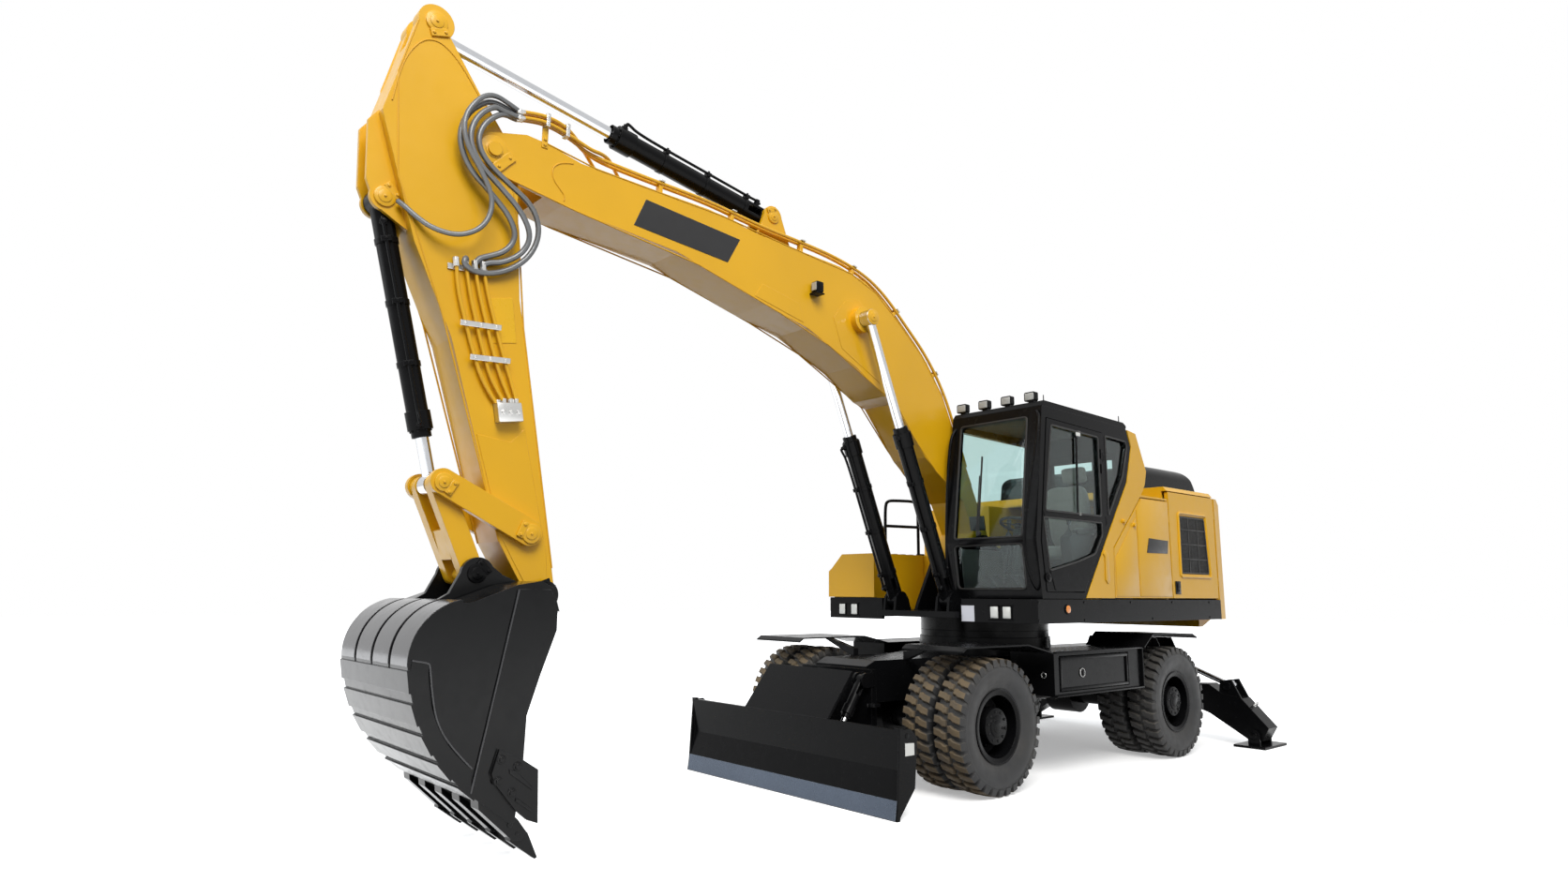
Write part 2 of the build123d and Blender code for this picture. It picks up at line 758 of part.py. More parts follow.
# upright door hinges: side, x of the pin, x of the post that carries it, heights
side_hinges = (
    (1, seam_x, seam_x, (1700, 2330)),
    (1, rear_seam_x - 6, rear_seam_x - 12, (1700, 2420)),
    (-1, rear_seam_x - 6, rear_seam_x - 12, (1700, 2420)),
)
hood_hinge_x, hood_hinge_z = -1571, hood_side_z + 58
hood_hinges = (-520, 520)
with BuildPart() as shell:
    with BuildSketch(side_plane(panel_y)):
        with BuildLine():
            Polyline(*pillar_outline, close=True)
        make_face()
    extrude(amount=panel)
    # side rails over the doors, tied across by the top plates
    for side in (-1, 1):
        with BuildSketch(Plane.YZ.offset(seam_x + 10)):
            with Locations((side * (panel_y - 150), side_top_z + 10)):
                Rectangle(300, 20)
        extrude(amount=560)
        with BuildSketch(Plane.YZ.offset(rear_seam_x)):
            with BuildLine():
                Polyline(
                    (side * panel_y, hood_side_z),
                    (side * (panel_y - 35), hood_side_z + 45),
                    (side * 800, hood_side_z + 45),
                    (side * 800, hood_side_z + 5),
                    (side * (panel_y - 60), hood_side_z),
                    close=True,
                )
            make_face()
        extrude(amount=seam_x - rear_seam_x + 10)
    with BuildSketch(Plane.XY.offset(hood_side_z + 5)):
        for strip_x in (seam_x - 80, rear_seam_x + 70):
            with Locations((strip_x, 0)):
                Rectangle(140, 1620)
    extrude(amount=40)
    with BuildSketch(Plane.YZ.offset(seam_x + 10)):
        with Locations((0, side_top_z + 10)):
            Rectangle(2 * (panel_y - 200), 20)
    extrude(amount=500)
    # bulkhead behind the cab bay, standing on the deck
    with BuildSketch(Plane.YZ.offset(seam_x - 20)):
        with Locations((0, (deck_top_z + hood_side_z + 5) / 2)):
            Rectangle(2 * (panel_y - 60), hood_side_z + 5 - deck_top_z)
        with Locations((0, 1700)):
            Rectangle(2 * (cheek_inner_y + cheek_thickness), 1000, mode=Mode.SUBTRACT)
    extrude(amount=30)
    # rear door posts, standing on the deck in front of the counterweight
    for side in (-1, 1):
        with BuildSketch(Plane.XY.offset(deck_top_z)):
            with Locations(((skirt_rear_x + rear_seam_x - 12) / 2, side * (panel_y - 61))):
                Rectangle(rear_seam_x - 12 - skirt_rear_x, 68)
        extrude(amount=hood_side_z - deck_top_z)
        with BuildSketch(Plane.XY.offset(hood_side_z)):
            with Locations(((skirt_rear_x + rear_seam_x + 10) / 2, side * (panel_y - 60))):
                Rectangle(rear_seam_x + 10 - skirt_rear_x, 50)
        extrude(amount=30)
    # fixed halves of the door hinges
    for side, hinge_x, post_x, heights in side_hinges:
        for height in heights:
            for end in (-1, 1):
                with BuildSketch(Plane.XY.offset(height + end * (knuckle_half + hinge_play + 8))):
                    with Locations((hinge_x, side * side_hinge_y)):
                        Circle(hinge_radius)
                    if post_x == hinge_x:
                        with Locations((hinge_x, side * (side_hinge_y - 30))):
                            Rectangle(6, 60)
                    else:
                        with Locations((hinge_x - 5, side * side_hinge_y)):
                            Rectangle(10, 6)
                        with Locations((post_x - 4, side * (side_hinge_y - 13))):
                            Rectangle(8, 32)
                extrude(amount=8, both=True)
            with BuildSketch(Plane.XY.offset(height)):
                with Locations((hinge_x, side * side_hinge_y)):
                    Circle(hinge_pin_radius)
            extrude(amount=knuckle_half + 10, both=True)
    # fixed halves of the hood hinges
    for hinge_y in hood_hinges:
        for end in (-1, 1):
            with BuildSketch(side_plane(hinge_y + end * (knuckle_half + hinge_play + 8))):
                with Locations((hood_hinge_x, hood_hinge_z)):
                    Circle(hinge_radius)
                with Locations((hood_hinge_x + 1, (hood_hinge_z + hood_side_z + 40) / 2)):
                    Rectangle(9, hood_hinge_z - hood_side_z - 40)
            extrude(amount=8, both=True)
        with BuildSketch(side_plane(hinge_y)):
            with Locations((hood_hinge_x, hood_hinge_z)):
                Circle(hinge_pin_radius)
        extrude(amount=knuckle_half + 10, both=True)
save(shell.part, "body_shell")

hood_half, hood_top_z, hood_wall = 900, 2955, 30
hood_front_x, hood_rear_x, hood_base_z = seam_x - 140, -2800, hood_side_z + 50
with BuildPart() as hood:
    with BuildSketch(Plane.XZ):
        with BuildLine():
            Line((hood_front_x, hood_base_z), (hood_front_x, hood_top_z - 130))
            ThreePointArc(
                (hood_front_x, hood_top_z - 130), (hood_front_x - 40, hood_top_z - 55), (hood_front_x - 130, hood_top_z - 20)
            )
            Line((hood_front_x - 130, hood_top_z - 20), (hood_rear_x + 340, hood_top_z))
            ThreePointArc(
                (hood_rear_x + 340, hood_top_z), (hood_rear_x + 80, hood_top_z - 75), (hood_rear_x, hood_top_z - 240)
            )
            Line((hood_rear_x, hood_top_z - 240), (hood_rear_x, hood_base_z))
            Line((hood_rear_x, hood_base_z), (hood_front_x, hood_base_z))
        make_face()
    extrude(amount=hood_half, both=True)
    # its sides lean in and round over into the top
    with BuildSketch(Plane.YZ):
        with BuildLine():
            Line((-hood_half, hood_base_z), (-hood_half + 20, hood_top_z - 130))
            ThreePointArc(
                (-hood_half + 20, hood_top_z - 130), (-hood_half + 60, hood_top_z - 40), (-hood_half + 170, hood_top_z)
            )
            Line((-hood_half + 170, hood_top_z), (hood_half - 170, hood_top_z))
            ThreePointArc(
                (hood_half - 170, hood_top_z), (hood_half - 60, hood_top_z - 40), (hood_half - 20, hood_top_z - 130)
            )
            Line((hood_half - 20, hood_top_z - 130), (hood_half, hood_base_z))
            Line((hood_half, hood_base_z), (-hood_half, hood_base_z))
        make_face()
    extrude(amount=hood_rear_x - 100, mode=Mode.INTERSECT)
    with BuildSketch(Plane.XY.offset(hood_base_z)):
        with Locations(((hood_front_x + rear_seam_x + 20) / 2, 0)):
            Rectangle(hood_front_x - rear_seam_x - 20 - 2 * hood_wall, 2 * (hood_half - 2 * hood_wall))
    extrude(amount=hood_top_z - hood_base_z - 110, mode=Mode.SUBTRACT)
    for hinge_y in hood_hinges:
        with BuildSketch(side_plane(hinge_y)):
            with Locations((hood_hinge_x, hood_hinge_z)):
                Circle(hinge_radius)
            with Locations((hood_hinge_x - hinge_radius - 1, hood_hinge_z)):
                Rectangle(2 * hinge_radius, 2 * hinge_radius - 2)
            with Locations((hood_hinge_x, hood_hinge_z)):
                Circle(hinge_pin_radius + hinge_play, mode=Mode.SUBTRACT)
        extrude(amount=knuckle_half, both=True)
save(hood.part, "engine_hood")

# side doors: name, side, outline in x and z, grille opening in x and z
front_door = [(-345, 1530), (-360, 1985), (-905, 2495), (seam_x + 6, 2495), (seam_x + 6, 1530)]
rear_door = [(seam_x - 14, 1530), (seam_x - 14, 2600), (rear_seam_x, 2600), (rear_seam_x, 1530)]
grille = [(-1650, 1775), (-1660, 2370), (-2220, 2370), (-2270, 1775)]
for (name, side, outline, opening), hinge in zip(
    (
        ("left_front_door", 1, front_door, None),
        ("left_rear_door", 1, rear_door, grille),
        ("right_rear_door", -1, rear_door, grille),
    ),
    side_hinges,
):
    with BuildPart() as door:
        with BuildSketch(side_plane(side * panel_y)):
            with BuildLine():
                Polyline(*outline, close=True)
            make_face()
            if opening:
                with BuildLine(mode=Mode.PRIVATE) as edge:
                    Polyline(*opening, close=True)
                make_face(edge.edges(), mode=Mode.SUBTRACT)
        extrude(amount=side * panel)
        if opening:
            # slanted louvre bars across the opening
            low_z, high_z = opening[0][1], opening[1][1]
            bars = 9
            for bar in range(bars):
                bar_z = low_z + (bar + 0.5) * (high_z - low_z) / bars
                with BuildSketch(side_plane(side * (panel_y - 12))):
                    with Locations(((opening[0][0] + opening[3][0]) / 2, bar_z)):
                        Rectangle(opening[0][0] - opening[3][0] - 2, 26)
                extrude(amount=side * 12)
        # moving halves of the hinges
        for height in hinge[3]:
            with BuildSketch(Plane.XY.offset(height)):
                with Locations((hinge[1], side * side_hinge_y)):
                    Circle(hinge_radius + hinge_play)
            extrude(amount=hinge_half, both=True, mode=Mode.SUBTRACT)
            with BuildSketch(Plane.XY.offset(height)):
                with Locations((hinge[1], side * side_hinge_y)):
                    Circle(hinge_radius)
                with Locations((hinge[1] + hinge_radius + 1, side * side_hinge_y)):
                    Rectangle(2 * hinge_radius, 2 * hinge_radius - 4)
                with Locations((hinge[1], side * side_hinge_y)):
                    Circle(hinge_pin_radius + hinge_play, mode=Mode.SUBTRACT)
            extrude(amount=knuckle_half, both=True)
    save(door.part, name)

with BuildPart() as counterweight:
    with BuildSketch(Plane.XY.offset(1310)):
        with BuildLine():
            Line((skirt_rear_x, -panel_y), (skirt_rear_x, panel_y))
            Line((skirt_rear_x, panel_y), (-2620, panel_y - 20))
            ThreePointArc((-2620, panel_y - 20), (-2860, 0), (-2620, -panel_y + 20))
            Line((-2620, -panel_y + 20), (skirt_rear_x, -panel_y))
        make_face()
    extrude(amount=1290)
    with BuildSketch(Plane.XZ):
        with BuildLine():
            Polyline((skirt_rear_x, 1310), (-2780, 1310), (-2550, 1225), (skirt_rear_x, 1225), close=True)
        make_face()
    extrude(amount=1000, both=True)
    top_edges = counterweight.edges().group_by(Axis.Z)[-1]
    chamfer(top_edges.filter_by(GeomType.CIRCLE), length=60)
save(counterweight.part, "counterweight")

with BuildPart() as tanks:
    for tank_front_x, tank_rear_x, tank_top_z in ((180, -560, 1950), (-580, seam_x + 20, side_top_z - 5)):
        with BuildSketch(Plane.YZ.offset(tank_rear_x)):
            with BuildLine():
                Polyline(
                    (-330, deck_top_z),
                    (-330, tank_top_z),
                    (-panel_y + 60, tank_top_z),
                    (-panel_y, tank_top_z - 60),
                    (-panel_y, 1520),
                    (-1210, 1520),
                    (-1210, deck_top_z),
                    close=True,
                )
            make_face()
        extrude(amount=tank_front_x - tank_rear_x)
    with BuildSketch(Plane.YZ.offset(200)):
        with BuildLine():
            Polyline(
                (-600, 1520),
                (-600, 1950),
                (-1050, 1950),
                (-1200, 1810),
                (-panel_y, 1780),
                (-panel_y, 1520),
                close=True,
            )
        make_face()
    extrude(amount=740)
    with BuildSketch(Plane.YZ.offset(200)):
        with Locations((-900, (deck_top_z + 1520) / 2)):
            Rectangle(600, 1520 - deck_top_z)
    extrude(amount=700)
save(tanks.part, "tanks_and_tool_case")

with BuildPart() as engine:
    with BuildSketch(Plane.XY.offset(deck_top_z)):
        with Locations((-1950, -100)):
            Rectangle(560, 1100)
    extrude(amount=900)
save(engine.part, "engine_block")

# ---------------------------------------------------------------- cab
cab_front = [(820, cab_floor_z), (880, 2018), (725, 3200)]  # bottom, bend and top of the windscreen face
cab_rear_x = -760
roof_rear_z = 3165
wall_inner_y = cab_outer_y - 110
side_outline = [*cab_front, (-700, roof_rear_z), (cab_rear_x, 2960), (cab_rear_x, cab_floor_z)]
skin_outline = [*cab_front, (-690, roof_rear_z), (-765, 2980), (-652, 2631), (-313, 2173), (156, cab_floor_z)]
door_outline = [(760, 1575), (815, 2020), (672, 3100), (-245, 3070), (-245, 2125), (165, 1575)]
cab_hinges = (2230, 2830)
cab_hinge_x, cab_hinge_y, cab_hinge_radius, cab_hinge_pin = -241, cab_outer_y - 7, 10, 5
door_hole = [(735, 1600), (790, 2020), (650, 3075), (-220, 3045), (-220, 2130), (175, 1600)]
quarter_window = [(-300, 3045), (-300, 2290), (-590, 2690), (-690, 2970), (-670, 3030)]
with BuildPart() as cab_left:
    with BuildSketch(side_plane(wall_inner_y + 50)):
        with BuildLine():
            Polyline(*side_outline, close=True)
        make_face()
        Polygon(*door_hole, align=None, mode=Mode.SUBTRACT)
        Polygon(*quarter_window, align=None, mode=Mode.SUBTRACT)
    extrude(amount=50)
    with BuildSketch(side_plane(cab_outer_y - 5)):
        with BuildLine():
            Polyline(*skin_outline, close=True)
        make_face()
        Polygon(*door_outline, align=None, mode=Mode.SUBTRACT)
        Polygon(*quarter_window, align=None, mode=Mode.SUBTRACT)
    extrude(amount=55)
    for height in cab_hinges:
        with BuildSketch(Plane.XY.offset(height)):
            with Locations((cab_hinge_x, cab_hinge_y)):
                Circle(cab_hinge_radius)
            with Locations((cab_hinge_x - cab_hinge_radius, cab_hinge_y - cab_hinge_radius / 2)):
                Rectangle(2 * cab_hinge_radius, cab_hinge_radius)
        extrude(amount=hinge_half, both=True)
        with BuildSketch(Plane.XY.offset(height)):
            with Locations((cab_hinge_x, cab_hinge_y)):
                Circle(cab_hinge_radius + hinge_play)
            with Locations((cab_hinge_x - cab_hinge_radius, cab_hinge_y + cab_hinge_radius)):
                Rectangle(2 * cab_hinge_radius, 2 * cab_hinge_radius)
        extrude(amount=knuckle_half + hinge_play, both=True, mode=Mode.SUBTRACT)
        with BuildSketch(Plane.XY.offset(height)):
            with Locations((cab_hinge_x, cab_hinge_y)):
                Circle(cab_hinge_pin)
        extrude(amount=hinge_half, both=True)
save(cab_left.part, "cab_left")

right_window = [(740, 2000), (775, 2060), (650, 3080), (-600, 3050), (-600, 2000)]
with BuildPart() as cab_right:
    with BuildSketch(side_plane(cab_inner_y + cab_wall)):
        with BuildLine():
            Polyline(*side_outline, close=True)
        make_face()
        Polygon(*right_window, align=None, mode=Mode.SUBTRACT)
    extrude(amount=cab_wall)
save(cab_right.part, "cab_right")

cab_middle_y = (cab_inner_y + cab_wall + wall_inner_y) / 2
cab_inside = wall_inner_y - cab_inner_y - cab_wall
window_half = cab_inside / 2 - 45
with BuildPart() as front_frame:
    with BuildSketch(side_plane(cab_middle_y)):
        with BuildLine():
            back = [(x - 45, z - 3) for x, z in reversed(cab_front)]
            Polyline(*cab_front, *back, close=True)
        make_face()
    extrude(amount=cab_inside / 2, both=True)
    for low_z, high_z in ((1600, 1985), (2050, 3110)):
        with BuildSketch(side_plane(cab_middle_y)):
            with Locations((800, (low_z + high_z) / 2)):
                Rectangle(400, high_z - low_z)
        extrude(amount=window_half, both=True, mode=Mode.SUBTRACT)
save(front_frame.part, "cab_front")

with BuildPart() as rear_wall:
    with BuildSketch(side_plane(cab_middle_y)):
        with BuildLine():
            Polyline(
                (cab_rear_x, 1580), (cab_rear_x, 2960), (-701, roof_rear_z - 2), (-650, roof_rear_z - 2), (-710, 2950), (-710, 1580),
                close=True,
            )
        make_face()
    extrude(amount=cab_inside / 2, both=True)
    with BuildSketch(Plane.YZ.offset(cab_rear_x - 20)):
        with Locations((cab_middle_y, 2580)):
            Rectangle(cab_inside - 140, 600)
    extrude(amount=200, mode=Mode.SUBTRACT)
save(rear_wall.part, "cab_rear")

with BuildPart() as cab_floor:
    with BuildSketch(Plane.XY.offset(cab_floor_z)):
        with Locations(((cab_rear_x + 770) / 2, cab_middle_y)):
            Rectangle(770 - cab_rear_x, cab_inside)
    extrude(amount=60)
    with BuildSketch(Plane.XY.offset(deck_top_z)):
        for mount_x in (cab_rear_x + 160, 600):
            for mount_y in (cab_middle_y - 300, cab_middle_y + 300):
                with Locations((mount_x, mount_y)):
                    Circle(60)
    extrude(amount=cab_floor_z - deck_top_z)
save(cab_floor.part, "cab_floor")

with BuildPart() as roof:
    with BuildSketch(side_plane(cab_inner_y)):
        with BuildLine():
            Polyline(
                (cab_front[2][0], cab_front[2][1] + 1),
                (cab_front[2][0] - 35, cab_front[2][1] + 50),
                (-650, roof_rear_z + 51),
                (-700, roof_rear_z + 25),
                (-701, roof_rear_z + 1),
                close=True,
            )
        make_face()
    extrude(amount=-(cab_outer_y - 5 - cab_inner_y))
    # four work lamps along the front edge, each on a short foot
    lamp_step = (cab_outer_y - cab_inner_y - 230) / 3
    for lamp in range(4):
        with BuildSketch(Plane.XY.offset(3240)):
            with Locations((668, cab_inner_y + 80 + lamp * lamp_step)):
                Rectangle(24, 40)
        extrude(amount=30)
        with BuildSketch(Plane.YZ.offset(640)):
            with Locations((cab_inner_y + 80 + lamp * lamp_step, 3304)):
                RectangleRounded(112, 84, 16)
        extrude(amount=52)
save(roof.part, "cab_roof")

glass = 6
with BuildPart() as panes:
    with BuildSketch(side_plane(cab_inner_y + 30)):
        Polygon(*right_window, align=None)
    extrude(amount=glass)
    with BuildSketch(side_plane(cab_outer_y - 30)):
        Polygon(*quarter_window, align=None)
    extrude(amount=glass)
    with BuildSketch(Plane.YZ.offset(cab_rear_x + 20)):
        with Locations((cab_middle_y, 2580)):
            Rectangle(cab_inside - 140, 600)
    extrude(amount=glass)
    for (low_x, low_z), (high_x, high_z) in (((809, 1600), (855.2, 1985)), ((854, 2050), (715.2, 3110))):
        with BuildSketch(side_plane(cab_middle_y)):
            Polygon((low_x, low_z), (high_x, high_z), (high_x - glass, high_z), (low_x - glass, low_z), align=None)
        extrude(amount=window_half, both=True)
save(panes.part, "cab_glass")

door_inner = [(752, 1583), (807, 2020), (665, 3091), (-237, 3062), (-237, 2128), (170, 1583)]
upper_window = [(735, 2275), (600, 3040), (-165, 3015), (-165, 2275)]
lower_window = [(765, 2215), (-165, 2215), (-165, 2100), (-30, 1925), (250, 1850), (700, 1760)]
with BuildPart() as cab_door:
    with BuildSketch(side_plane(cab_outer_y)):
        with BuildLine():
            Polyline(*door_inner, close=True)
        make_face()
        Polygon(*upper_window, align=None, mode=Mode.SUBTRACT)
        Polygon(*lower_window, align=None, mode=Mode.SUBTRACT)
    extrude(amount=52)
    for height in cab_hinges:
        with BuildSketch(Plane.XY.offset(height)):
            with Locations((cab_hinge_x, cab_hinge_y)):
                Circle(cab_hinge_radius + hinge_play)
        extrude(amount=hinge_half + hinge_play, both=True, mode=Mode.SUBTRACT)
        with BuildSketch(Plane.XY.offset(height)):
            with Locations((cab_hinge_x, cab_hinge_y)):
                Circle(cab_hinge_radius)
            with Locations((cab_hinge_x + cab_hinge_radius, cab_hinge_y)):
                Rectangle(2 * cab_hinge_radius, 10)
            with Locations((cab_hinge_x, cab_hinge_y)):
                Circle(cab_hinge_pin + hinge_play, mode=Mode.SUBTRACT)
        extrude(amount=knuckle_half, both=True)
save(cab_door.part, "cab_door")
with BuildPart() as door_glass:
    with BuildSketch(side_plane(cab_outer_y - 22)):
        Polygon(*upper_window, align=None)
        Polygon(*lower_window, align=None)
    extrude(amount=glass)
save(door_glass.part, "cab_door_glass")

seat_y = cab_middle_y
console_y = cab_inside / 2 - 80
with BuildPart() as seat:
    with BuildSketch(Plane.XY.offset(cab_floor_z + 60)):
        with Locations((-230, seat_y)):
            Rectangle(360, 360)
    extrude(amount=300)
    with BuildSketch(Plane.XY.offset(cab_floor_z + 360)):
        with Locations((-200, seat_y)):
            RectangleRounded(520, 480, 60)
    extrude(amount=120)
    with BuildSketch(Plane(origin=(-420, seat_y, cab_floor_z + 470), z_dir=(-0.2, 0, 1), x_dir=(1, 0, 0.2))):
        RectangleRounded(110, 460, 50)
    extrude(amount=640)
    with BuildSketch(Plane(origin=(-560, seat_y, cab_floor_z + 1130), z_dir=(-0.2, 0, 1), x_dir=(1, 0, 0.2))):
        RectangleRounded(90, 260, 40)
    extrude(amount=170)
    for post_y in (-70, 70):
        with BuildSketch(Plane(origin=(-545, seat_y + post_y, cab_floor_z + 1060), z_dir=(-0.2, 0, 1), x_dir=(1, 0, 0.2))):
            Circle(7)
        extrude(amount=110)
    for side in (-1, 1):
        with BuildSketch(side_plane(seat_y + side * console_y)):
            Polygon((-450, 1780), (150, 1780), (170, 2090), (120, 2120), (-350, 2120), align=None)
        extrude(amount=60, both=True)
        with BuildSketch(Plane.XY.offset(2110)):
            with Locations((110, seat_y + side * console_y)):
                Circle(22)
        extrude(amount=150)
        with BuildSketch(side_plane(seat_y + side * console_y)):
            with Locations((-150, 1705)):
                Rectangle(260, 250)
        extrude(amount=40, both=True)
    with BuildSketch(Plane.XZ.offset(-seat_y)):
        with Locations((-150, cab_floor_z + 300)):
            Rectangle(200, 60)
    extrude(amount=console_y - 20, both=True)
    # steering column and wheel
    with BuildSketch(side_plane(seat_y)):
        Polygon((600, 1580), (480, 1580), (328, 2168), (402, 2194), align=None)
    extrude(amount=50, both=True)
    wheel_plane = Plane(origin=(370, seat_y, 2180), z_dir=(-0.35, 0, 1), x_dir=(1, 0, 0.35))
    with BuildSketch(wheel_plane):
        Circle(190)
        Circle(165, mode=Mode.SUBTRACT)
        Rectangle(340, 36)
        Rectangle(36, 340)
    extrude(amount=24)
save(seat.part, "seat_and_controls")

# ---------------------------------------------------------------- boom
boom_cylinder_boss = boom_cylinder_y - cylinder_eye_half - side_clear - boom_half_width
with BuildPart() as boom:
    with BuildSketch(Plane.XZ):
        with BuildLine():
            Polyline(
                (374, 2137),
                (534, 2436),
                (902, 2678),
                (1073, 2809),
                (1466, 3268),
                (1617, 3313),
                (1990, 3524),
                (2564, 3766),
                (3027, 3867),
                (3893, 4098),
                (4860, 4189),
                (5263, 4264),
                (5414, 4313),
            )
            ThreePointArc((5414, 4313), (5495, 4430), (5370, 4555))
            Polyline(
                (5370, 4555),
                (5145, 4614),
                (5001, 4602),
                (4729, 4541),
                (3601, 4521),
                (3108, 4451),
                (2181, 4400),
                (1859, 4330),
                (1607, 4199),
                (1345, 3977),
                (1033, 3726),
                (801, 3413),
                (160, 2110),
            )
            ThreePointArc((160, 2110), (180, 1880), (374, 2137))
        make_face()
    extrude(amount=boom_half_width, both=True)
    # fork for the arm, bore for its pin
    with BuildSketch(Plane.XZ):
        with BuildLine():
            Polyline((5000, 4100), (5700, 4100), (5700, 4750), (5000, 4750), close=True)
        make_face()
    extrude(amount=arm_half_width + side_clear, both=True, mode=Mode.SUBTRACT)
    # arm cylinder lugs on top, boom cylinder bosses outside
    for side in (-1, 1):
        with BuildSketch(side_plane(side * (60 + side_clear + 17.5))):
            with Locations(arm_cylinder_foot):
                Circle(95)
            with BuildLine():
                Polyline((2640, 4380), (3060, 4410), (2960, 4720), (2780, 4720), close=True)
            make_face()
        extrude(amount=17.5, both=True)
        with BuildSketch(side_plane(side * boom_half_width)):
            with Locations(boom_cylinder_pin):
                Circle(115)
        extrude(amount=-side * boom_cylinder_boss)
    with BuildSketch(Plane.XZ):
        with Locations(arm_cylinder_foot):
            Circle(40)
    extrude(amount=105, both=True)
    with BuildSketch(Plane.XZ):
        with Locations(boom_pivot):
            Circle(50 + pin_clear)
        with Locations(arm_pivot):
            Circle(48 + pin_clear)
    extrude(amount=400, both=True, mode=Mode.SUBTRACT)
save(boom.part, "boom")

boom_lines = [
    (
        (boom_cylinder_foot[0], side * boom_cylinder_y, boom_cylinder_foot[1]),
        (boom_cylinder_pin[0], side * boom_cylinder_y, boom_cylinder_pin[1]),
        (0, 1, 0),
    )
    for side in (-1, 1)
]
barrels("boom_cylinder_barrels", boom_lines, 72, 12, 1640, 75, 2 * cylinder_eye_half, 45)
rods("boom_cylinder_rods", boom_lines, 42, 59, 1660, 72, 2 * cylinder_eye_half)

arm_line = [((arm_cylinder_foot[0], 0, arm_cylinder_foot[1]), (arm_apex_pin[0], 0, arm_apex_pin[1]), (0, 1, 0))]
barrels("arm_cylinder_barrel", arm_line, 80, 13, 1560, 85, 120, 40)
rods("arm_cylinder_rod", arm_line, 48, 66, 1700, 75, 110)

# ---------------------------------------------------------------- arm
with BuildPart() as arm:
    with BuildSketch(Plane.XZ):
        with BuildLine():
            Polyline(
                (arm_apex_pin[0] - 95, 5120),
                (5441, 4760),
                (5297, 4576),
                (5187, 4415),
                (5117, 3460),
                (5066, 3212),
                (4775, 1600),
            )
            ThreePointArc((4775, 1600), (4830, 1440), (4945, 1500))
            Polyline(
                (4945, 1500),
                (5062, 1687),
                (5165, 1858),
                (5552, 3118),
                (5825, 3690),
                (6074, 4480),
                (5973, 4858),
                (arm_apex_pin[0] + 113, 5160),
            )
            ThreePointArc((arm_apex_pin[0] + 113, 5160), (5780, 5307), (arm_apex_pin[0] - 95, 5120))
        make_face()
    extrude(amount=arm_half_width - 5, both=True)
    # slots for the cylinder eyes, the links and the bucket hub leave side plates standing
    with BuildSketch(Plane.XZ):
        Polygon((5500, 5050), (5700, 5000), (5900, 5000), (6100, 5050), (6100, 5400), (5500, 5400), align=None)
    extrude(amount=55 + side_clear, both=True, mode=Mode.SUBTRACT)
    for side in (-1, 1):
        with BuildSketch(side_plane(side * 85)):
            with Locations(bucket_cylinder_foot):
                Circle(90)
            with BuildLine():
                Polyline((5800, 3740), (6050, 3880), (6116, 4036), (6133, 4418), (6074, 4500), (5950, 4300), close=True)
            make_face()
        extrude(amount=15, both=True)
    with BuildSketch(Plane.XZ):
        with Locations(bucket_cylinder_foot):
            Circle(40)
    extrude(amount=105, both=True)
    with BuildSketch(Plane.XZ):
        with Locations(arm_pivot):
            Circle(48)
    extrude(amount=boom_half_width + 30, both=True)
    with BuildSketch(Plane.XZ):
        with Locations(idler_pin):
            Circle(40)
    extrude(amount=arm_half_width + 60, both=True)
    with BuildSketch(Plane.XZ):
        with Locations(bucket_pin):
            Circle(42 + pin_clear)
    extrude(amount=400, both=True, mode=Mode.SUBTRACT)
save(arm.part, "arm")

bucket_line = [
    (
        (bucket_cylinder_foot[0], 0, bucket_cylinder_foot[1]),
        (link_top_pin[0], 0, link_top_pin[1]),
        (0, 1, 0),
    )
]
barrels("bucket_cylinder_barrel", bucket_line, 66, 11, 1500, 80, 120, 40)
rods("bucket_cylinder_rod", bucket_line, 40, 54, 1450, 66, 110)

# ---------------------------------------------------------------- bucket linkage
idler_y = arm_half_width + 27
with BuildPart() as idlers:
    for side in (-1, 1):
        with BuildSketch(side_plane(side * idler_y)):
            with BuildLine():
                Line((4930, 1990), (5520, 2275))
                ThreePointArc((5520, 2275), (5635, 2175), (5585, 2130))
                Line((5585, 2130), (5020, 1845))
                ThreePointArc((5020, 1845), (4900, 1900), (4930, 1990))
            make_face()
        extrude(amount=22, both=True)
    with BuildSketch(Plane.XZ):
        with Locations(link_top_pin):
            Circle(40)
    extrude(amount=idler_y + 30, both=True)
    with BuildSketch(Plane.XZ):
        with Locations(idler_pin):
            Circle(40 + pin_clear)
    extrude(amount=400, both=True, mode=Mode.SUBTRACT)
    # the rod's eye carries its own stub of this pin
    with BuildSketch(Plane.XZ):
        with Locations(link_top_pin):
            Circle(60)
    extrude(amount=55 + side_clear, both=True, mode=Mode.SUBTRACT)
save(idlers.part, "idler_links")

link_inner = 75
with BuildPart() as link:
    for side in (-1, 1):
        with BuildSketch(side_plane(side * (link_inner + 50))):
            with BuildLine():
                Line((5499, 2228), (5255, 1682))
                ThreePointArc((5255, 1682), (5306, 1590), (5377, 1628))
                Line((5377, 1628), (5621, 2172))
                ThreePointArc((5621, 2172), (5573, 2266), (5499, 2228))
            make_face()
        extrude(amount=45, both=True)
    with BuildSketch(Plane.XZ):
        Polygon((5400, 1960), (5500, 1920), (5430, 1740), (5310, 1780), align=None)
    extrude(amount=link_inner + 10, both=True)
    with BuildSketch(Plane.XZ):
        with Locations(link_top_pin):
            Circle(40 + pin_clear)
    extrude(amount=400, both=True, mode=Mode.SUBTRACT)
    with BuildSketch(Plane.XZ):
        with Locations(link_low_pin):
            Circle(42)
    extrude(amount=link_inner + 95, both=True)
save(link.part, "bucket_link")

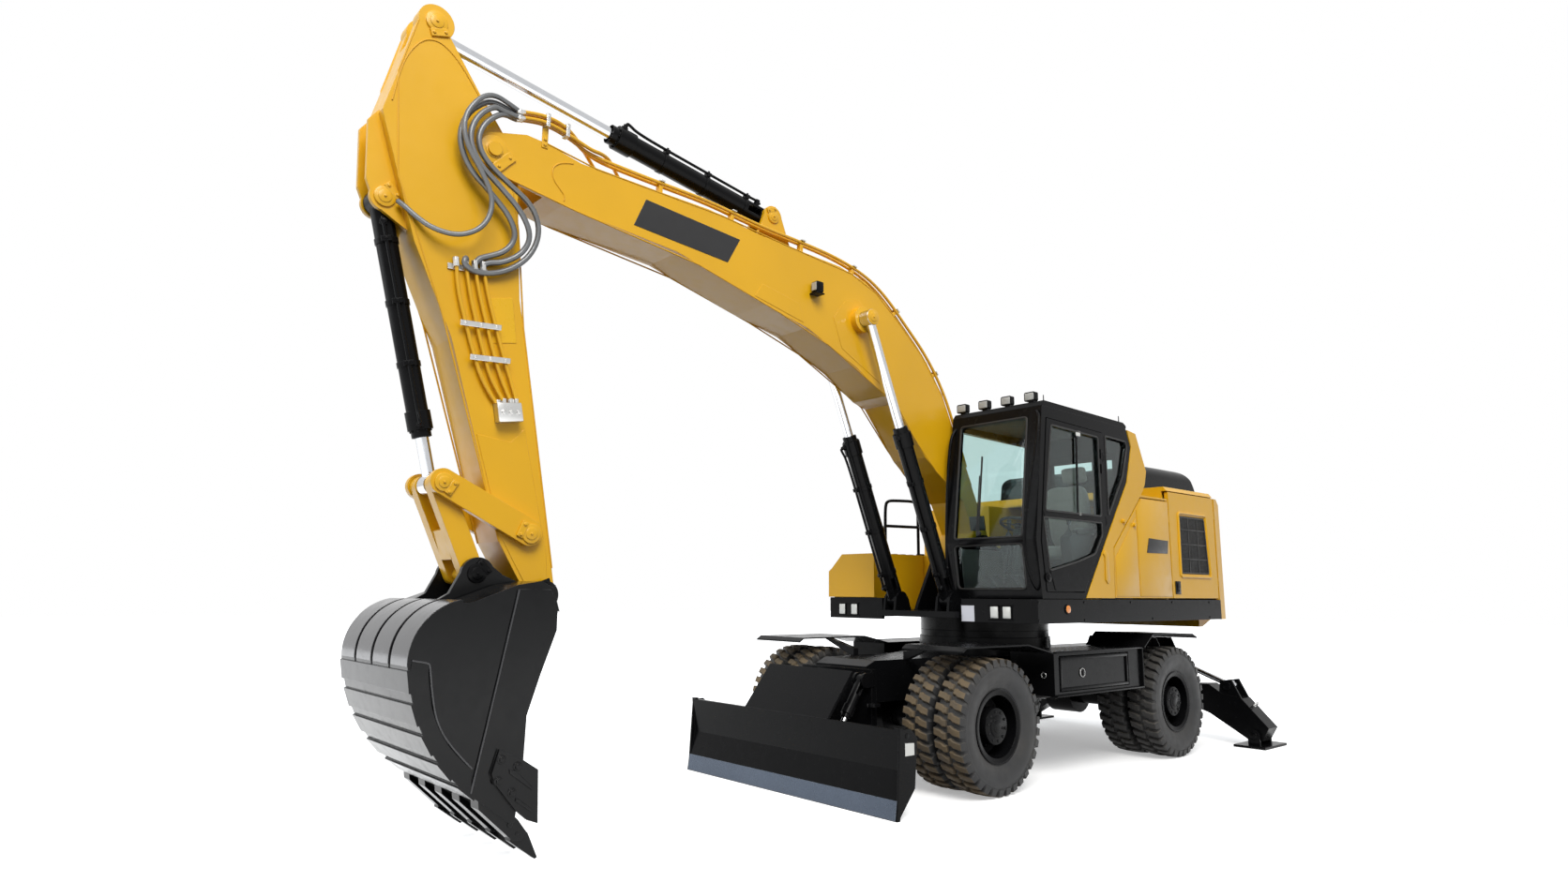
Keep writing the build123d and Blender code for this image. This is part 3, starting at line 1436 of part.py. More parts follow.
# ---------------------------------------------------------------- bucket
bucket_wall = 25
lip, lip_back, back_low = (5170, 250), (5200, 240), (5427, 419)
back_middle, back_top = (5819, 1082), (5560, 1480)
mouth = [(5150, 1490), (4960, 1440), (4960, 1318), (5053, 1062), (5127, 834), (5134, 587), lip, lip_back, back_low]
mouth_inside = [(5150, 1465), (4900, 1415), (4900, 1318), (5000, 1062), (5060, 834), (5060, 587), (5100, 190), (5195, 270)]
back_centre, back_radius = (4839, 1214), 989
with BuildPart() as bucket:
    with BuildSketch(Plane.XZ):
        with BuildLine():
            Polyline(back_top, *mouth)
            ThreePointArc(back_low, (5695, 720), back_middle)
            ThreePointArc(back_middle, (5765, 1345), back_top)
        make_face()
    extrude(amount=bucket_half_width, both=True)
    with BuildSketch(Plane.XZ):
        with BuildLine():
            Polyline((5550, 1455), *mouth_inside, (5410, 438))
            ThreePointArc((5410, 438), (5673, 735), (5793, 1082))
            ThreePointArc((5793, 1082), (5743, 1330), (5550, 1455))
        make_face()
    extrude(amount=bucket_half_width - bucket_wall, both=True, mode=Mode.SUBTRACT)
    # wear bands across the back, then straps over its top
    bands, band_pitch, band_width, band_thickness = 5, 10.5, 122, 20
    for band in range(bands):
        around = radians(-9 - band * band_pitch)
        band_x = back_centre[0] + back_radius * cos(around)
        band_z = back_centre[1] + back_radius * sin(around)
        with BuildSketch(Plane.XZ):
            with Locations(Location((band_x, band_z, 0), (0, 0, degrees(around)))):
                Rectangle(band_thickness, band_width)
        extrude(amount=bucket_half_width + 8, both=True)
    straps, strap_gap = 4, 34
    strap_width = (2 * bucket_half_width - (straps - 1) * strap_gap) / straps
    for strap in range(straps):
        with BuildSketch(side_plane(-bucket_half_width + (strap + 0.5) * strap_width + strap * strap_gap)):
            with BuildLine():
                ThreePointArc((5829, 1120), (5772, 1357), (5545, 1500))
                Line((5545, 1500), (5545, 1470))
                ThreePointArc((5545, 1470), (5750, 1335), (5806, 1120))
                Line((5806, 1120), (5829, 1120))
            make_face()
        extrude(amount=strap_width / 2, both=True)
    # sides: strip along the mouth, crescent along the back, bolted cutter at the low corner
    for side in (-1, 1):
        with BuildSketch(side_plane(side * bucket_half_width)):
            with BuildLine():
                Polyline((5218, 1560), (5440, 432), (5200, 245), (5174, 256), (5138, 588), (5131, 836), (5057, 1064),
                         (4964, 1319), (4964, 1438), (5010, 1560), close=True)
            make_face()
            with BuildLine():
                Line((5812, 1175), (5717, 1155))
                ThreePointArc((5717, 1155), (5655, 835), (5440, 570))
                Line((5440, 570), (5440, 432))
                ThreePointArc((5440, 432), (5698, 728), (5817, 1082))
                Line((5817, 1082), (5812, 1175))
            make_face()
        extrude(amount=-side * 8)
        with BuildSketch(side_plane(side * (bucket_half_width + 8))):
            with BuildLine():
                Polyline((5296, 664), (5149, 592), (5054, 529), (5041, 231), (5111, 259), (5181, 320), (5313, 481),
                         (5335, 535), close=True)
            make_face()
        extrude(amount=-side * 24)
        # closed shoulder boxes beside the arm
        with BuildSketch(side_plane(side * (bucket_half_width + shoulder_inner_y) / 2)):
            with BuildLine():
                Polyline((5500, 1482), (5218, 1587), (5069, 1611), (4994, 1571), (4948, 1430), (5150, 1480), close=True)
            make_face()
        extrude(amount=(bucket_half_width - shoulder_inner_y) / 2, both=True)
    # hanger ears for the arm pin and the link pin
    for side in (-1, 1):
        with BuildSketch(side_plane(side * (arm_half_width + 25))):
            with BuildLine():
                Polyline((5600, 1465), (5480, 1535), (5415, 1660))
                ThreePointArc((5415, 1660), (5310, 1755), (5215, 1700))
                Polyline((5215, 1700), (5150, 1650), (5031, 1600), (4900, 1608), (4780, 1590), (4960, 1440), (5300, 1470),
                         (5600, 1465))
            make_face()
            with Locations(bucket_pin):
                Circle(95)
            with Locations(link_low_pin):
                Circle(85)
        extrude(amount=18, both=True)
    with BuildSketch(Plane.XZ):
        with Locations(bucket_pin):
            Circle(42)
    extrude(amount=arm_half_width + 50, both=True)
    # adapters on the lip, each with its tooth
    lip_teeth = 5
    for tooth in range(lip_teeth):
        tooth_y = (tooth - (lip_teeth - 1) / 2) * (2 * bucket_half_width - 110) / (lip_teeth - 1)
        with BuildSketch(side_plane(tooth_y)):
            Polygon((5395, 425), (5230, 335), (5150, 262), (5095, 190), (5120, 145), (5175, 150), (5385, 345), align=None)
        extrude(amount=54, both=True)
        with BuildSketch(side_plane(tooth_y)):
            Polygon((5140, 235), (5075, 175), (5008, 30), (5024, 24), (5180, 140), (5180, 200), align=None)
        extrude(amount=34, both=True)
save(bucket.part, "bucket")
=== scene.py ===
import json
from math import cos, pi, radians, sin, tau

import bmesh
import bpy
from mathutils import Matrix, Vector


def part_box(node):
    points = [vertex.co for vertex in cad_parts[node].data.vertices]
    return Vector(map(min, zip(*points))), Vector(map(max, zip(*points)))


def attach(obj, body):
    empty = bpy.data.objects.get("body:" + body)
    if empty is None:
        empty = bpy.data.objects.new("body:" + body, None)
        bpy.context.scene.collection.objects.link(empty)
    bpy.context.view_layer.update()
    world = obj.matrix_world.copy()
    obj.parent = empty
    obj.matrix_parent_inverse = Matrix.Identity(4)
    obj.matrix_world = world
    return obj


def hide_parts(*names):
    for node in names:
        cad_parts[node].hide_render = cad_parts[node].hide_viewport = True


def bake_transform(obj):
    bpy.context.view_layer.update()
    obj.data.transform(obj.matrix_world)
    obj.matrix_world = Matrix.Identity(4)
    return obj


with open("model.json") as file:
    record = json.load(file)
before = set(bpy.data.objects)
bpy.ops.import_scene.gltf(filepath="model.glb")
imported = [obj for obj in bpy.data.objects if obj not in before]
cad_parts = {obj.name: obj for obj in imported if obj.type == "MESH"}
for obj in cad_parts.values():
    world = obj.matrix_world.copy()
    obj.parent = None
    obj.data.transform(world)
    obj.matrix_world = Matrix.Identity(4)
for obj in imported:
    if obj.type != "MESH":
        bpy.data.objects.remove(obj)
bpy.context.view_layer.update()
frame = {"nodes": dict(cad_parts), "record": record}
nodes = frame["nodes"]

# ---- floor, light and camera
# A pale floor that takes the machine's soft shadow, under a wide white sky with one large
# lamp high on the left. The sky is brightest overhead, so undersides fall off to shade.
scene = bpy.context.scene
scene.view_settings.view_transform = "Standard"


def wire(tree, source, target):
    """Join an output socket to an input socket."""
    tree.links.new(source, target)


def only_seen(tree, seen, unseen):
    """Strength or colour for what the camera, gloss and glass see, and another for plain light."""
    path = tree.nodes.new("ShaderNodeLightPath")
    total = path.outputs["Is Camera Ray"]
    for name in ("Is Glossy Ray", "Is Transmission Ray"):
        add = tree.nodes.new("ShaderNodeMath")
        add.operation = "MAXIMUM"
        wire(tree, total, add.inputs[0])
        wire(tree, path.outputs[name], add.inputs[1])
        total = add.outputs[0]
    mix = tree.nodes.new("ShaderNodeMix")
    mix.data_type = "RGBA"
    wire(tree, total, mix.inputs["Factor"])
    mix.inputs["A"].default_value = unseen
    mix.inputs["B"].default_value = seen
    return mix.outputs["Result"]


world = bpy.data.worlds.new("sky")
world.use_nodes = True
scene.world = world
sky = world.node_tree
background = sky.nodes["Background"]
sky_place = sky.nodes.new("ShaderNodeTexCoord")
sky_split = sky.nodes.new("ShaderNodeSeparateXYZ")
sky_ramp = sky.nodes.new("ShaderNodeValToRGB")
sky_ramp.color_ramp.elements[0].position = 0.36
sky_ramp.color_ramp.elements[0].color = (0.10, 0.10, 0.10, 1)
sky_ramp.color_ramp.elements[1].position = 0.86
sky_ramp.color_ramp.elements[1].color = (0.84, 0.87, 0.90, 1)
sky_height = sky.nodes.new("ShaderNodeMapRange")
sky_height.inputs["From Min"].default_value = -1
wire(sky, sky_place.outputs["Generated"], sky_split.inputs[0])
wire(sky, sky_split.outputs["Z"], sky_height.inputs["Value"])
wire(sky, sky_height.outputs["Result"], sky_ramp.inputs["Fac"])
sky_seen = only_seen(sky, (1, 1, 1, 1), (0, 0, 0, 1))
sky_mix = sky.nodes.new("ShaderNodeMix")
sky_mix.data_type = "RGBA"
wire(sky, sky_seen, sky_mix.inputs["Factor"])
wire(sky, sky_ramp.outputs["Color"], sky_mix.inputs["A"])
sky_mix.inputs["B"].default_value = (1, 1, 1, 1)
wire(sky, sky_mix.outputs["Result"], background.inputs["Color"])

floor_mesh = bmesh.new()
bmesh.ops.create_grid(floor_mesh, x_segments=1, y_segments=1, size=60)
floor_data = bpy.data.meshes.new("floor")
floor_mesh.to_mesh(floor_data)
floor = bpy.data.objects.new("floor", floor_data)
scene.collection.objects.link(floor)
floor_finish = bpy.data.materials.new("pale_floor")
floor_finish.use_nodes = True
floor_tree = floor_finish.node_tree
floor_shader = floor_tree.nodes["Principled BSDF"]
floor_shader.inputs["Roughness"].default_value = 0.9
floor_shader.inputs["Specular IOR Level"].default_value = 0.0
wire(floor_tree, only_seen(floor_tree, (0.90, 0.90, 0.90, 1), (0.12, 0.115, 0.11, 1)),
    floor_shader.inputs["Base Color"])
floor_place = floor_tree.nodes.new("ShaderNodeTexCoord")
floor_away = floor_tree.nodes.new("ShaderNodeVectorMath")
floor_away.operation = "DISTANCE"
floor_away.inputs[1].default_value = (0.6, 0.0, 0.0)
floor_fade = floor_tree.nodes.new("ShaderNodeMapRange")
floor_fade.interpolation_type = "SMOOTHSTEP"
floor_fade.inputs["From Min"].default_value = 2.5
floor_fade.inputs["From Max"].default_value = 7.0
floor_fade.inputs["To Min"].default_value = 0.36
wire(floor_tree, floor_place.outputs["Object"], floor_away.inputs[0])
wire(floor_tree, floor_away.outputs["Value"], floor_fade.inputs["Value"])
floor_glow = floor_tree.nodes.new("ShaderNodeVectorMath")
floor_glow.operation = "SCALE"
wire(floor_tree, only_seen(floor_tree, (1, 1, 1, 1), (0, 0, 0, 1)), floor_glow.inputs[0])
wire(floor_tree, floor_fade.outputs["Result"], floor_glow.inputs["Scale"])
wire(floor_tree, floor_glow.outputs["Vector"], floor_shader.inputs["Emission Color"])
floor_shader.inputs["Emission Strength"].default_value = 1.0
floor_data.materials.append(floor_finish)

for lamp_name, lamp_from, lamp_to, lamp_size, lamp_power, lamp_color in (
    ("key", (9.0, 11.0, 14.0), (1.0, 0.0, 1.5), 9.0, 2700, (1.0, 0.98, 0.95)),
    ("fill", (14.0, -4.0, 7.0), (1.0, 0.0, 1.5), 8.0, 500, (0.93, 0.97, 1.0)),
):
    lamp_data = bpy.data.lights.new(lamp_name, "AREA")
    lamp_data.size = lamp_size
    lamp_data.energy = lamp_power
    lamp_data.color = lamp_color
    lamp = bpy.data.objects.new(lamp_name, lamp_data)
    lamp.location = lamp_from
    lamp.rotation_euler = (Vector(lamp_to) - Vector(lamp_from)).to_track_quat("-Z", "Y").to_euler()
    scene.collection.objects.link(lamp)

yaw, pitch, roll = radians(229.19), radians(9.38), radians(0.415)
looking = Vector((cos(pitch) * cos(yaw), cos(pitch) * sin(yaw), sin(pitch)))
level_right = looking.cross(Vector((0, 0, 1))).normalized()
level_up = level_right.cross(looking)
camera_right = cos(roll) * level_right + sin(roll) * level_up
camera_up = cos(roll) * level_up - sin(roll) * level_right
camera_data = bpy.data.cameras.new("camera")
camera_data.sensor_width = 36
camera_data.lens = 21.277
camera_data.clip_end = 200
camera = bpy.data.objects.new("camera", camera_data)
camera.matrix_world = Matrix.Translation((7.655, 5.804, 1.544)) @ Matrix(
    (camera_right, camera_up, -looking)
).transposed().to_4x4()
scene.collection.objects.link(camera)
scene.camera = camera

# ---- paint
# Yellow and black two-pack enamel over primed steel: glossy, a little orange peel, a thin
# film of dust on what faces up, and edges a touch paler, partly where the film is thin and partly as
# a painted highlight along them.


def new_group(name, inputs, outputs):
    """A shader group with its named sockets; gives the tree and its two ends."""
    tree = bpy.data.node_groups.new(name, "ShaderNodeTree")
    for socket, kind, value in inputs:
        made = tree.interface.new_socket(name=socket, in_out="INPUT", socket_type=kind)
        if value is not None:
            made.default_value = value
    for socket, kind in outputs:
        tree.interface.new_socket(name=socket, in_out="OUTPUT", socket_type=kind)
    return tree, tree.nodes.new("NodeGroupInput"), tree.nodes.new("NodeGroupOutput")


def noise(tree, place, scale, detail=3.0, stretch=None):
    """Noise on a coordinate, stretched along axes where asked."""
    if stretch:
        mapping = tree.nodes.new("ShaderNodeMapping")
        mapping.inputs["Scale"].default_value = stretch
        wire(tree, place, mapping.inputs["Vector"])
        place = mapping.outputs["Vector"]
    made = tree.nodes.new("ShaderNodeTexNoise")
    made.inputs["Scale"].default_value = scale
    made.inputs["Detail"].default_value = detail
    wire(tree, place, made.inputs["Vector"])
    return made.outputs["Fac"]


def remap(tree, value, low, high, to_low=0.0, to_high=1.0):
    """A value brought from one range to another, clamped."""
    made = tree.nodes.new("ShaderNodeMapRange")
    made.inputs["From Min"].default_value = low
    made.inputs["From Max"].default_value = high
    made.inputs["To Min"].default_value = to_low
    made.inputs["To Max"].default_value = to_high
    wire(tree, value, made.inputs["Value"])
    return made.outputs["Result"]


def combine(tree, kind, first, second):
    """Two values, or a value and a number, through one math node."""
    made = tree.nodes.new("ShaderNodeMath")
    made.operation = kind
    for socket, value in zip(made.inputs, (first, second)):
        if isinstance(value, (int, float)):
            socket.default_value = value
        else:
            wire(tree, value, socket)
    return made.outputs[0]


def mixed(tree, factor, first, second, kind="MIX"):
    """Two colours mixed by a mask."""
    made = tree.nodes.new("ShaderNodeMix")
    made.data_type = "RGBA"
    made.blend_type = kind
    for socket, value in ((made.inputs["Factor"], factor), (made.inputs["A"], first),
        (made.inputs["B"], second)):
        if isinstance(value, (int, float, tuple)):
            socket.default_value = value
        else:
            wire(tree, value, socket)
    return made.outputs["Result"]


surface, surface_in, surface_out = new_group(
    "worked_surface",
    (
        ("Color", "NodeSocketColor", (0.5, 0.5, 0.5, 1)),
        ("Edge Color", "NodeSocketColor", (0.5, 0.5, 0.5, 1)),
        ("Dust Color", "NodeSocketColor", (0.36, 0.32, 0.26, 1)),
        ("Dust", "NodeSocketFloat", 0.2),
        ("Edge Wear And Highlight", "NodeSocketFloat", 0.3),
        ("Roughness", "NodeSocketFloat", 0.3),
        ("Grain", "NodeSocketFloat", 0.1),
    ),
    (("Color", "NodeSocketColor"), ("Roughness", "NodeSocketFloat"), ("Normal", "NodeSocketVector")),
)
place = surface.nodes.new("ShaderNodeTexCoord").outputs["Object"]
shape = surface.nodes.new("ShaderNodeNewGeometry")
rounded = surface.nodes.new("ShaderNodeBevel")
rounded.samples = 4
rounded.inputs["Radius"].default_value = 0.006
turn = surface.nodes.new("ShaderNodeVectorMath")
turn.operation = "DOT_PRODUCT"
wire(surface, rounded.outputs["Normal"], turn.inputs[0])
wire(surface, shape.outputs["Normal"], turn.inputs[1])
# paler edges: paint worn thin on the edges, and also a painted highlight along every edge
edge = remap(surface, turn.outputs["Value"], 0.995, 0.86)
edge_break = remap(surface, noise(surface, place, 9, 6), 0.42, 0.62)
edge_wear_and_highlight_mask = combine(surface, "MULTIPLY", combine(surface, "MULTIPLY", edge, edge_break),
    surface_in.outputs["Edge Wear And Highlight"])
facing = surface.nodes.new("ShaderNodeSeparateXYZ")
wire(surface, shape.outputs["Normal"], facing.inputs[0])
upward = remap(surface, facing.outputs["Z"], 0.1, 0.95)
settled = combine(surface, "MULTIPLY", remap(surface, noise(surface, place, 2.2, 6), 0.32, 0.72),
    combine(surface, "ADD", upward, 0.18))
dust_mask = combine(surface, "MULTIPLY", settled, surface_in.outputs["Dust"])
tone = remap(surface, noise(surface, place, 1.3, 2), 0.3, 0.7, 0.95, 1.04)
toned = surface.nodes.new("ShaderNodeVectorMath")
toned.operation = "SCALE"
wire(surface, surface_in.outputs["Color"], toned.inputs[0])
wire(surface, tone, toned.inputs["Scale"])
painted = mixed(surface, edge_wear_and_highlight_mask, toned.outputs["Vector"], surface_in.outputs["Edge Color"])
wire(surface, mixed(surface, dust_mask, painted, surface_in.outputs["Dust Color"]),
    surface_out.inputs["Color"])
rough_grain = remap(surface, noise(surface, place, 14, 5), 0.3, 0.7, -0.05, 0.07)
rough = combine(surface, "ADD", surface_in.outputs["Roughness"], rough_grain)
wire(surface, combine(surface, "ADD", rough, combine(surface, "MULTIPLY", dust_mask, 0.6)),
    surface_out.inputs["Roughness"])
peel = surface.nodes.new("ShaderNodeBump")
peel.inputs["Distance"].default_value = 0.0006
wire(surface, surface_in.outputs["Grain"], peel.inputs["Strength"])
wire(surface, noise(surface, place, 180, 2), peel.inputs["Height"])
wire(surface, rounded.outputs["Normal"], peel.inputs["Normal"])
wire(surface, peel.outputs["Normal"], surface_out.inputs["Normal"])


def finish(name, color, edge_color, dust, wear, roughness, grain, coat=0.0, metallic=0.0, dust_color=None,
    gloss=0.4):
    """A material on the shared surface, with its own colour, edge wear and painted edge highlight, dust and
    gloss.
    """
    made = bpy.data.materials.new(name)
    made.use_nodes = True
    tree = made.node_tree
    shader = tree.nodes["Principled BSDF"]
    group = tree.nodes.new("ShaderNodeGroup")
    group.node_tree = surface
    group.inputs["Color"].default_value = (*color, 1)
    group.inputs["Edge Color"].default_value = (*edge_color, 1)
    if dust_color:
        group.inputs["Dust Color"].default_value = (*dust_color, 1)
    group.inputs["Dust"].default_value = dust
    group.inputs["Edge Wear And Highlight"].default_value = wear
    group.inputs["Roughness"].default_value = roughness
    group.inputs["Grain"].default_value = grain
    wire(tree, group.outputs["Color"], shader.inputs["Base Color"])
    wire(tree, group.outputs["Roughness"], shader.inputs["Roughness"])
    wire(tree, group.outputs["Normal"], shader.inputs["Normal"])
    shader.inputs["Coat Weight"].default_value = coat
    shader.inputs["Coat Roughness"].default_value = 0.08
    shader.inputs["Metallic"].default_value = metallic
    shader.inputs["Specular IOR Level"].default_value = gloss
    return made


yellow_paint = finish("yellow_paint", (0.70, 0.375, 0.003), (0.78, 0.48, 0.06), 0.05, 0.5, 0.34, 0.10, 0.12)
black_paint = finish("black_paint", (0.004, 0.0041, 0.0046), (0.026, 0.027, 0.029), 0.004, 0.3, 0.22, 0.08,
    0.0, gloss=0.08)
bare_steel = finish("bare_steel", (0.42, 0.42, 0.43), (0.6, 0.6, 0.6), 0.1, 0.3, 0.32, 0.2, 0.0, 1.0)
chrome = finish("chrome", (0.56, 0.57, 0.59), (0.7, 0.7, 0.7), 0.03, 0.1, 0.16, 0.02, 0.0, 1.0)
rubber = finish("rubber", (0.020, 0.0195, 0.019), (0.05, 0.047, 0.043), 0.32, 0.4, 0.72, 0.5, 0.0, 0.0,
    (0.13, 0.105, 0.075))
cab_trim = finish("cab_trim", (0.03, 0.03, 0.032), (0.06, 0.06, 0.06), 0.05, 0.2, 0.62, 0.4)
cast_iron = finish("cast_iron", (0.05, 0.05, 0.05), (0.1, 0.1, 0.1), 0.3, 0.3, 0.6, 0.5)


glass = bpy.data.materials.new("glass")
glass.use_nodes = True
pane = glass.node_tree.nodes["Principled BSDF"]
pane.inputs["Base Color"].default_value = (0.70, 0.84, 0.83, 1)
pane.inputs["Roughness"].default_value = 0.0
pane.inputs["Transmission Weight"].default_value = 1.0
pane.inputs["IOR"].default_value = 1.30

slot_finish = {
    "yellow_paint": yellow_paint,
    "black_paint": black_paint,
    "tyre": rubber,
    "chrome": chrome,
    "glass": glass,
    "cab_trim": cab_trim,
    "engine": cast_iron,
}
node_slot = {part["node"]: part["material_slot"] for part in frame["record"]["subparts"]}
for node, cad in nodes.items():
    for cad_slot in cad.material_slots:
        cad_slot.material = slot_finish[node_slot[node]]

# ---- tyres
# Four twin pairs of road and site tyres: black moulded rubber on a round carcass, with two rows
# of hooked blocks that meet in a zigzag and wrap over the shoulder. The front ones are dusty.
tyre_radius, tread_base, bead = 0.5275, 0.500, 0.254
blocks_round = 34
twin_rows = (0.790, 1.110)
wheels = {
    "front_left": (1.44, 1), "rear_left": (-1.44, 1), "front_right": (1.44, -1), "rear_right": (-1.44, -1),
}


def spun(mesh, outline, centre, axis, steps, closed=True):
    """A ring or disc turned from an outline of points about an axis."""
    corners = [mesh.verts.new(point) for point in outline]
    pairs = zip(corners, corners[1:] + corners[:1]) if closed else zip(corners, corners[1:])
    edges = [mesh.edges.new(pair) for pair in pairs]
    bmesh.ops.spin(
        mesh, geom=corners + edges, cent=centre, axis=axis, dvec=(0, 0, 0), angle=tau, steps=steps,
            use_merge=True
    )


def plate(mesh, corners, through, round_off=0.0, segments=1):
    """A flat plate from its corners, given its thickness by a vector, with its edges broken."""
    face = mesh.faces.new([mesh.verts.new(corner) for corner in corners])
    grown = bmesh.ops.extrude_face_region(mesh, geom=[face])["geom"]
    top = [item for item in grown if isinstance(item, bmesh.types.BMVert)]
    bmesh.ops.translate(mesh, verts=top, vec=through)
    faces = {side for corner in top for side in corner.link_faces} | {face}
    if round_off:
        edges = list({edge for side in faces for edge in side.edges})
        made = bmesh.ops.bevel(
            mesh, geom=edges, offset=round_off, segments=segments, affect="EDGES", profile=0.5, material=-1,
            clamp_overlap=True,
        )["faces"]
        faces = {side for side in faces if side.is_valid} | set(made)
    return list(faces)


def finished(mesh, name, material, body, smooth=35):
    """The mesh as an object with its finish, riding on a body; flat where faces meet sharply."""
    bmesh.ops.recalc_face_normals(mesh, faces=mesh.faces[:])
    for edge in mesh.edges:
        edge.smooth = len(edge.link_faces) != 2 or edge.calc_face_angle(0.0) < radians(smooth)
    for face in mesh.faces:
        face.smooth = True
    data = bpy.data.meshes.new(name)
    mesh.to_mesh(data)
    mesh.free()
    made = bpy.data.objects.new(name, data)
    scene.collection.objects.link(made)
    data.materials.append(material)
    if body:
        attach(made, body)
    return made


def tyre_rubber(name, dust_color, amount):
    """Rubber with dust on the tops of its blocks, by the blocks' own mask."""
    made = finish(name, (0.018, 0.0185, 0.020), (0.05, 0.048, 0.045), 0.22, 0.3, 0.52, 0.6)
    tree = made.node_tree
    group = next(node for node in tree.nodes if node.type == "GROUP")
    shader = tree.nodes["Principled BSDF"]
    top = tree.nodes.new("ShaderNodeAttribute")
    top.attribute_name = "block_top"
    where = tree.nodes.new("ShaderNodeTexCoord")
    patchy = remap(tree, noise(tree, where.outputs["Object"], 7, 5), 0.25, 0.6, 0.45, 1.0)
    mask = combine(tree, "MULTIPLY", combine(tree, "MULTIPLY", top.outputs["Fac"], patchy), amount)
    wire(tree, mixed(tree, mask, group.outputs["Color"], (*dust_color, 1)), shader.inputs["Base Color"])
    wire(tree, combine(tree, "ADD", group.outputs["Roughness"], combine(tree, "MULTIPLY", mask, 0.25)),
        shader.inputs["Roughness"])
    return made


dusty_rubber = tyre_rubber("front_tyre_rubber", (0.16, 0.115, 0.062), 0.8)
clean_rubber = tyre_rubber("rear_tyre_rubber", (0.045, 0.042, 0.038), 0.5)

tyre_mesh = bmesh.new()
# one block of the tread: hooked at the middle of the tyre, square at the shoulder
block_faces = plate(
    tyre_mesh,
    [
        (around, across, tread_base - 0.012)
        for across, around in (
            (0.004, -0.030), (0.036, -0.036), (0.060, -0.018), (0.134, -0.002), (0.134, 0.058),
                (0.056, 0.042),
            (0.034, 0.024), (0.006, 0.022),
        )
    ],
    (0, 0, tyre_radius - tread_base + 0.012),
)
block = list({corner for face in block_faces for corner in face.verts})
for corner in block:
    if corner.co.z > tread_base:
        corner.co.x = 0.004 + (corner.co.x - 0.004) * 0.88
        corner.co.y = 0.066 + (corner.co.y - 0.066) * 0.90
        corner.co.z = (tyre_radius**2 - corner.co.x**2) ** 0.5 - (0.006 if corner.co.y > 0.11 else 0.0)
    elif corner.co.y > 0.12:
        corner.co.z = 0.462
        corner.co.y = 0.1365
top_edges = [edge for edge in tyre_mesh.edges if all(corner.co.z > tread_base for corner in edge.verts)]
bmesh.ops.bevel(
    tyre_mesh, geom=top_edges, offset=0.005, segments=1, affect="EDGES", profile=0.5, material=-1,
        clamp_overlap=True
)
for corner in tyre_mesh.verts:
    reach = Vector((corner.co.x, 0, corner.co.z)).length
    if reach > tyre_radius:
        corner.co.x *= tyre_radius / reach
        corner.co.z *= tyre_radius / reach
one_block = tyre_mesh.verts[:] + tyre_mesh.edges[:] + tyre_mesh.faces[:]
other_row = bmesh.ops.duplicate(tyre_mesh, geom=one_block)["geom"]
other_corners = [item for item in other_row if isinstance(item, bmesh.types.BMVert)]
bmesh.ops.rotate(tyre_mesh, verts=other_corners, cent=(0, 0, 0), matrix=Matrix.Rotation(pi, 3, "Z"))
bmesh.ops.rotate(tyre_mesh, verts=other_corners, cent=(0, 0, 0),
    matrix=Matrix.Rotation(pi / blocks_round, 3, "Y"))
both_rows = tyre_mesh.verts[:] + tyre_mesh.edges[:] + tyre_mesh.faces[:]
bmesh.ops.spin(
    tyre_mesh, geom=both_rows, cent=(0, 0, 0), axis=(0, 1, 0), dvec=(0, 0, 0), angle=tau,
        steps=blocks_round,
    use_duplicate=True, use_merge=False,
)
bmesh.ops.delete(tyre_mesh, geom=both_rows, context="VERTS")
half_carcass = (
    (0.088, bead), (0.093, 0.272), (0.095, 0.292), (0.104, 0.300), (0.106, 0.308), (0.120, 0.330),
        (0.1335, 0.368),
    (0.1375, 0.402), (0.1365, 0.432), (0.1335, 0.446), (0.1350, 0.452), (0.1325, 0.459), (0.126, 0.478),
        (0.108, 0.492),
    (0.05, tread_base),
)
spun(
    tyre_mesh,
    [(0, across, radius) for across, radius in half_carcass] + [(0, -across, radius) for across,
    radius in half_carcass[::-1]],
    (0, 0, 0), (0, 1, 0), 96,
)
bmesh.ops.recalc_face_normals(tyre_mesh, faces=tyre_mesh.faces[:])
tyre_shape = bpy.data.meshes.new("tyre_shape")
tyre_mesh.to_mesh(tyre_shape)
tyre_mesh.free()
for wheel, (axle_x, side) in wheels.items():
    pair = bmesh.new()
    for row, middle_y in enumerate(twin_rows):
        one = tyre_shape.copy()
        one.transform(
            Matrix.Translation((axle_x, side * middle_y, tyre_radius)) @ Matrix.Rotation(0.07 * row, 4, "Y")
            @ Matrix.Rotation(0 if side > 0 else pi, 4, "Z")
        )
        pair.from_mesh(one)
    tops = [
        1.0 if Vector((corner.co.x - axle_x,
            corner.co.z - tyre_radius)).length > tyre_radius - 0.0085 else 0.0
        for corner in pair.verts
    ]
    tyres = finished(pair, f"tyre_pair_{wheel}", dusty_rubber if "front" in wheel else clean_rubber,
        f"wheel_{wheel}", 40)
    tyres.data.attributes.new("block_top", "FLOAT", "POINT").data.foreach_set("value", tops)
    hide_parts(f"tyres_{wheel}")

# ---- wheel hubs
# The planetary hub that fills the middle of each outer rim: a cast cover with a raised cap,
# a ring of cover screws and two plugs, painted black with the wheel.
hub_radius, hub_face = 0.142, 1.190


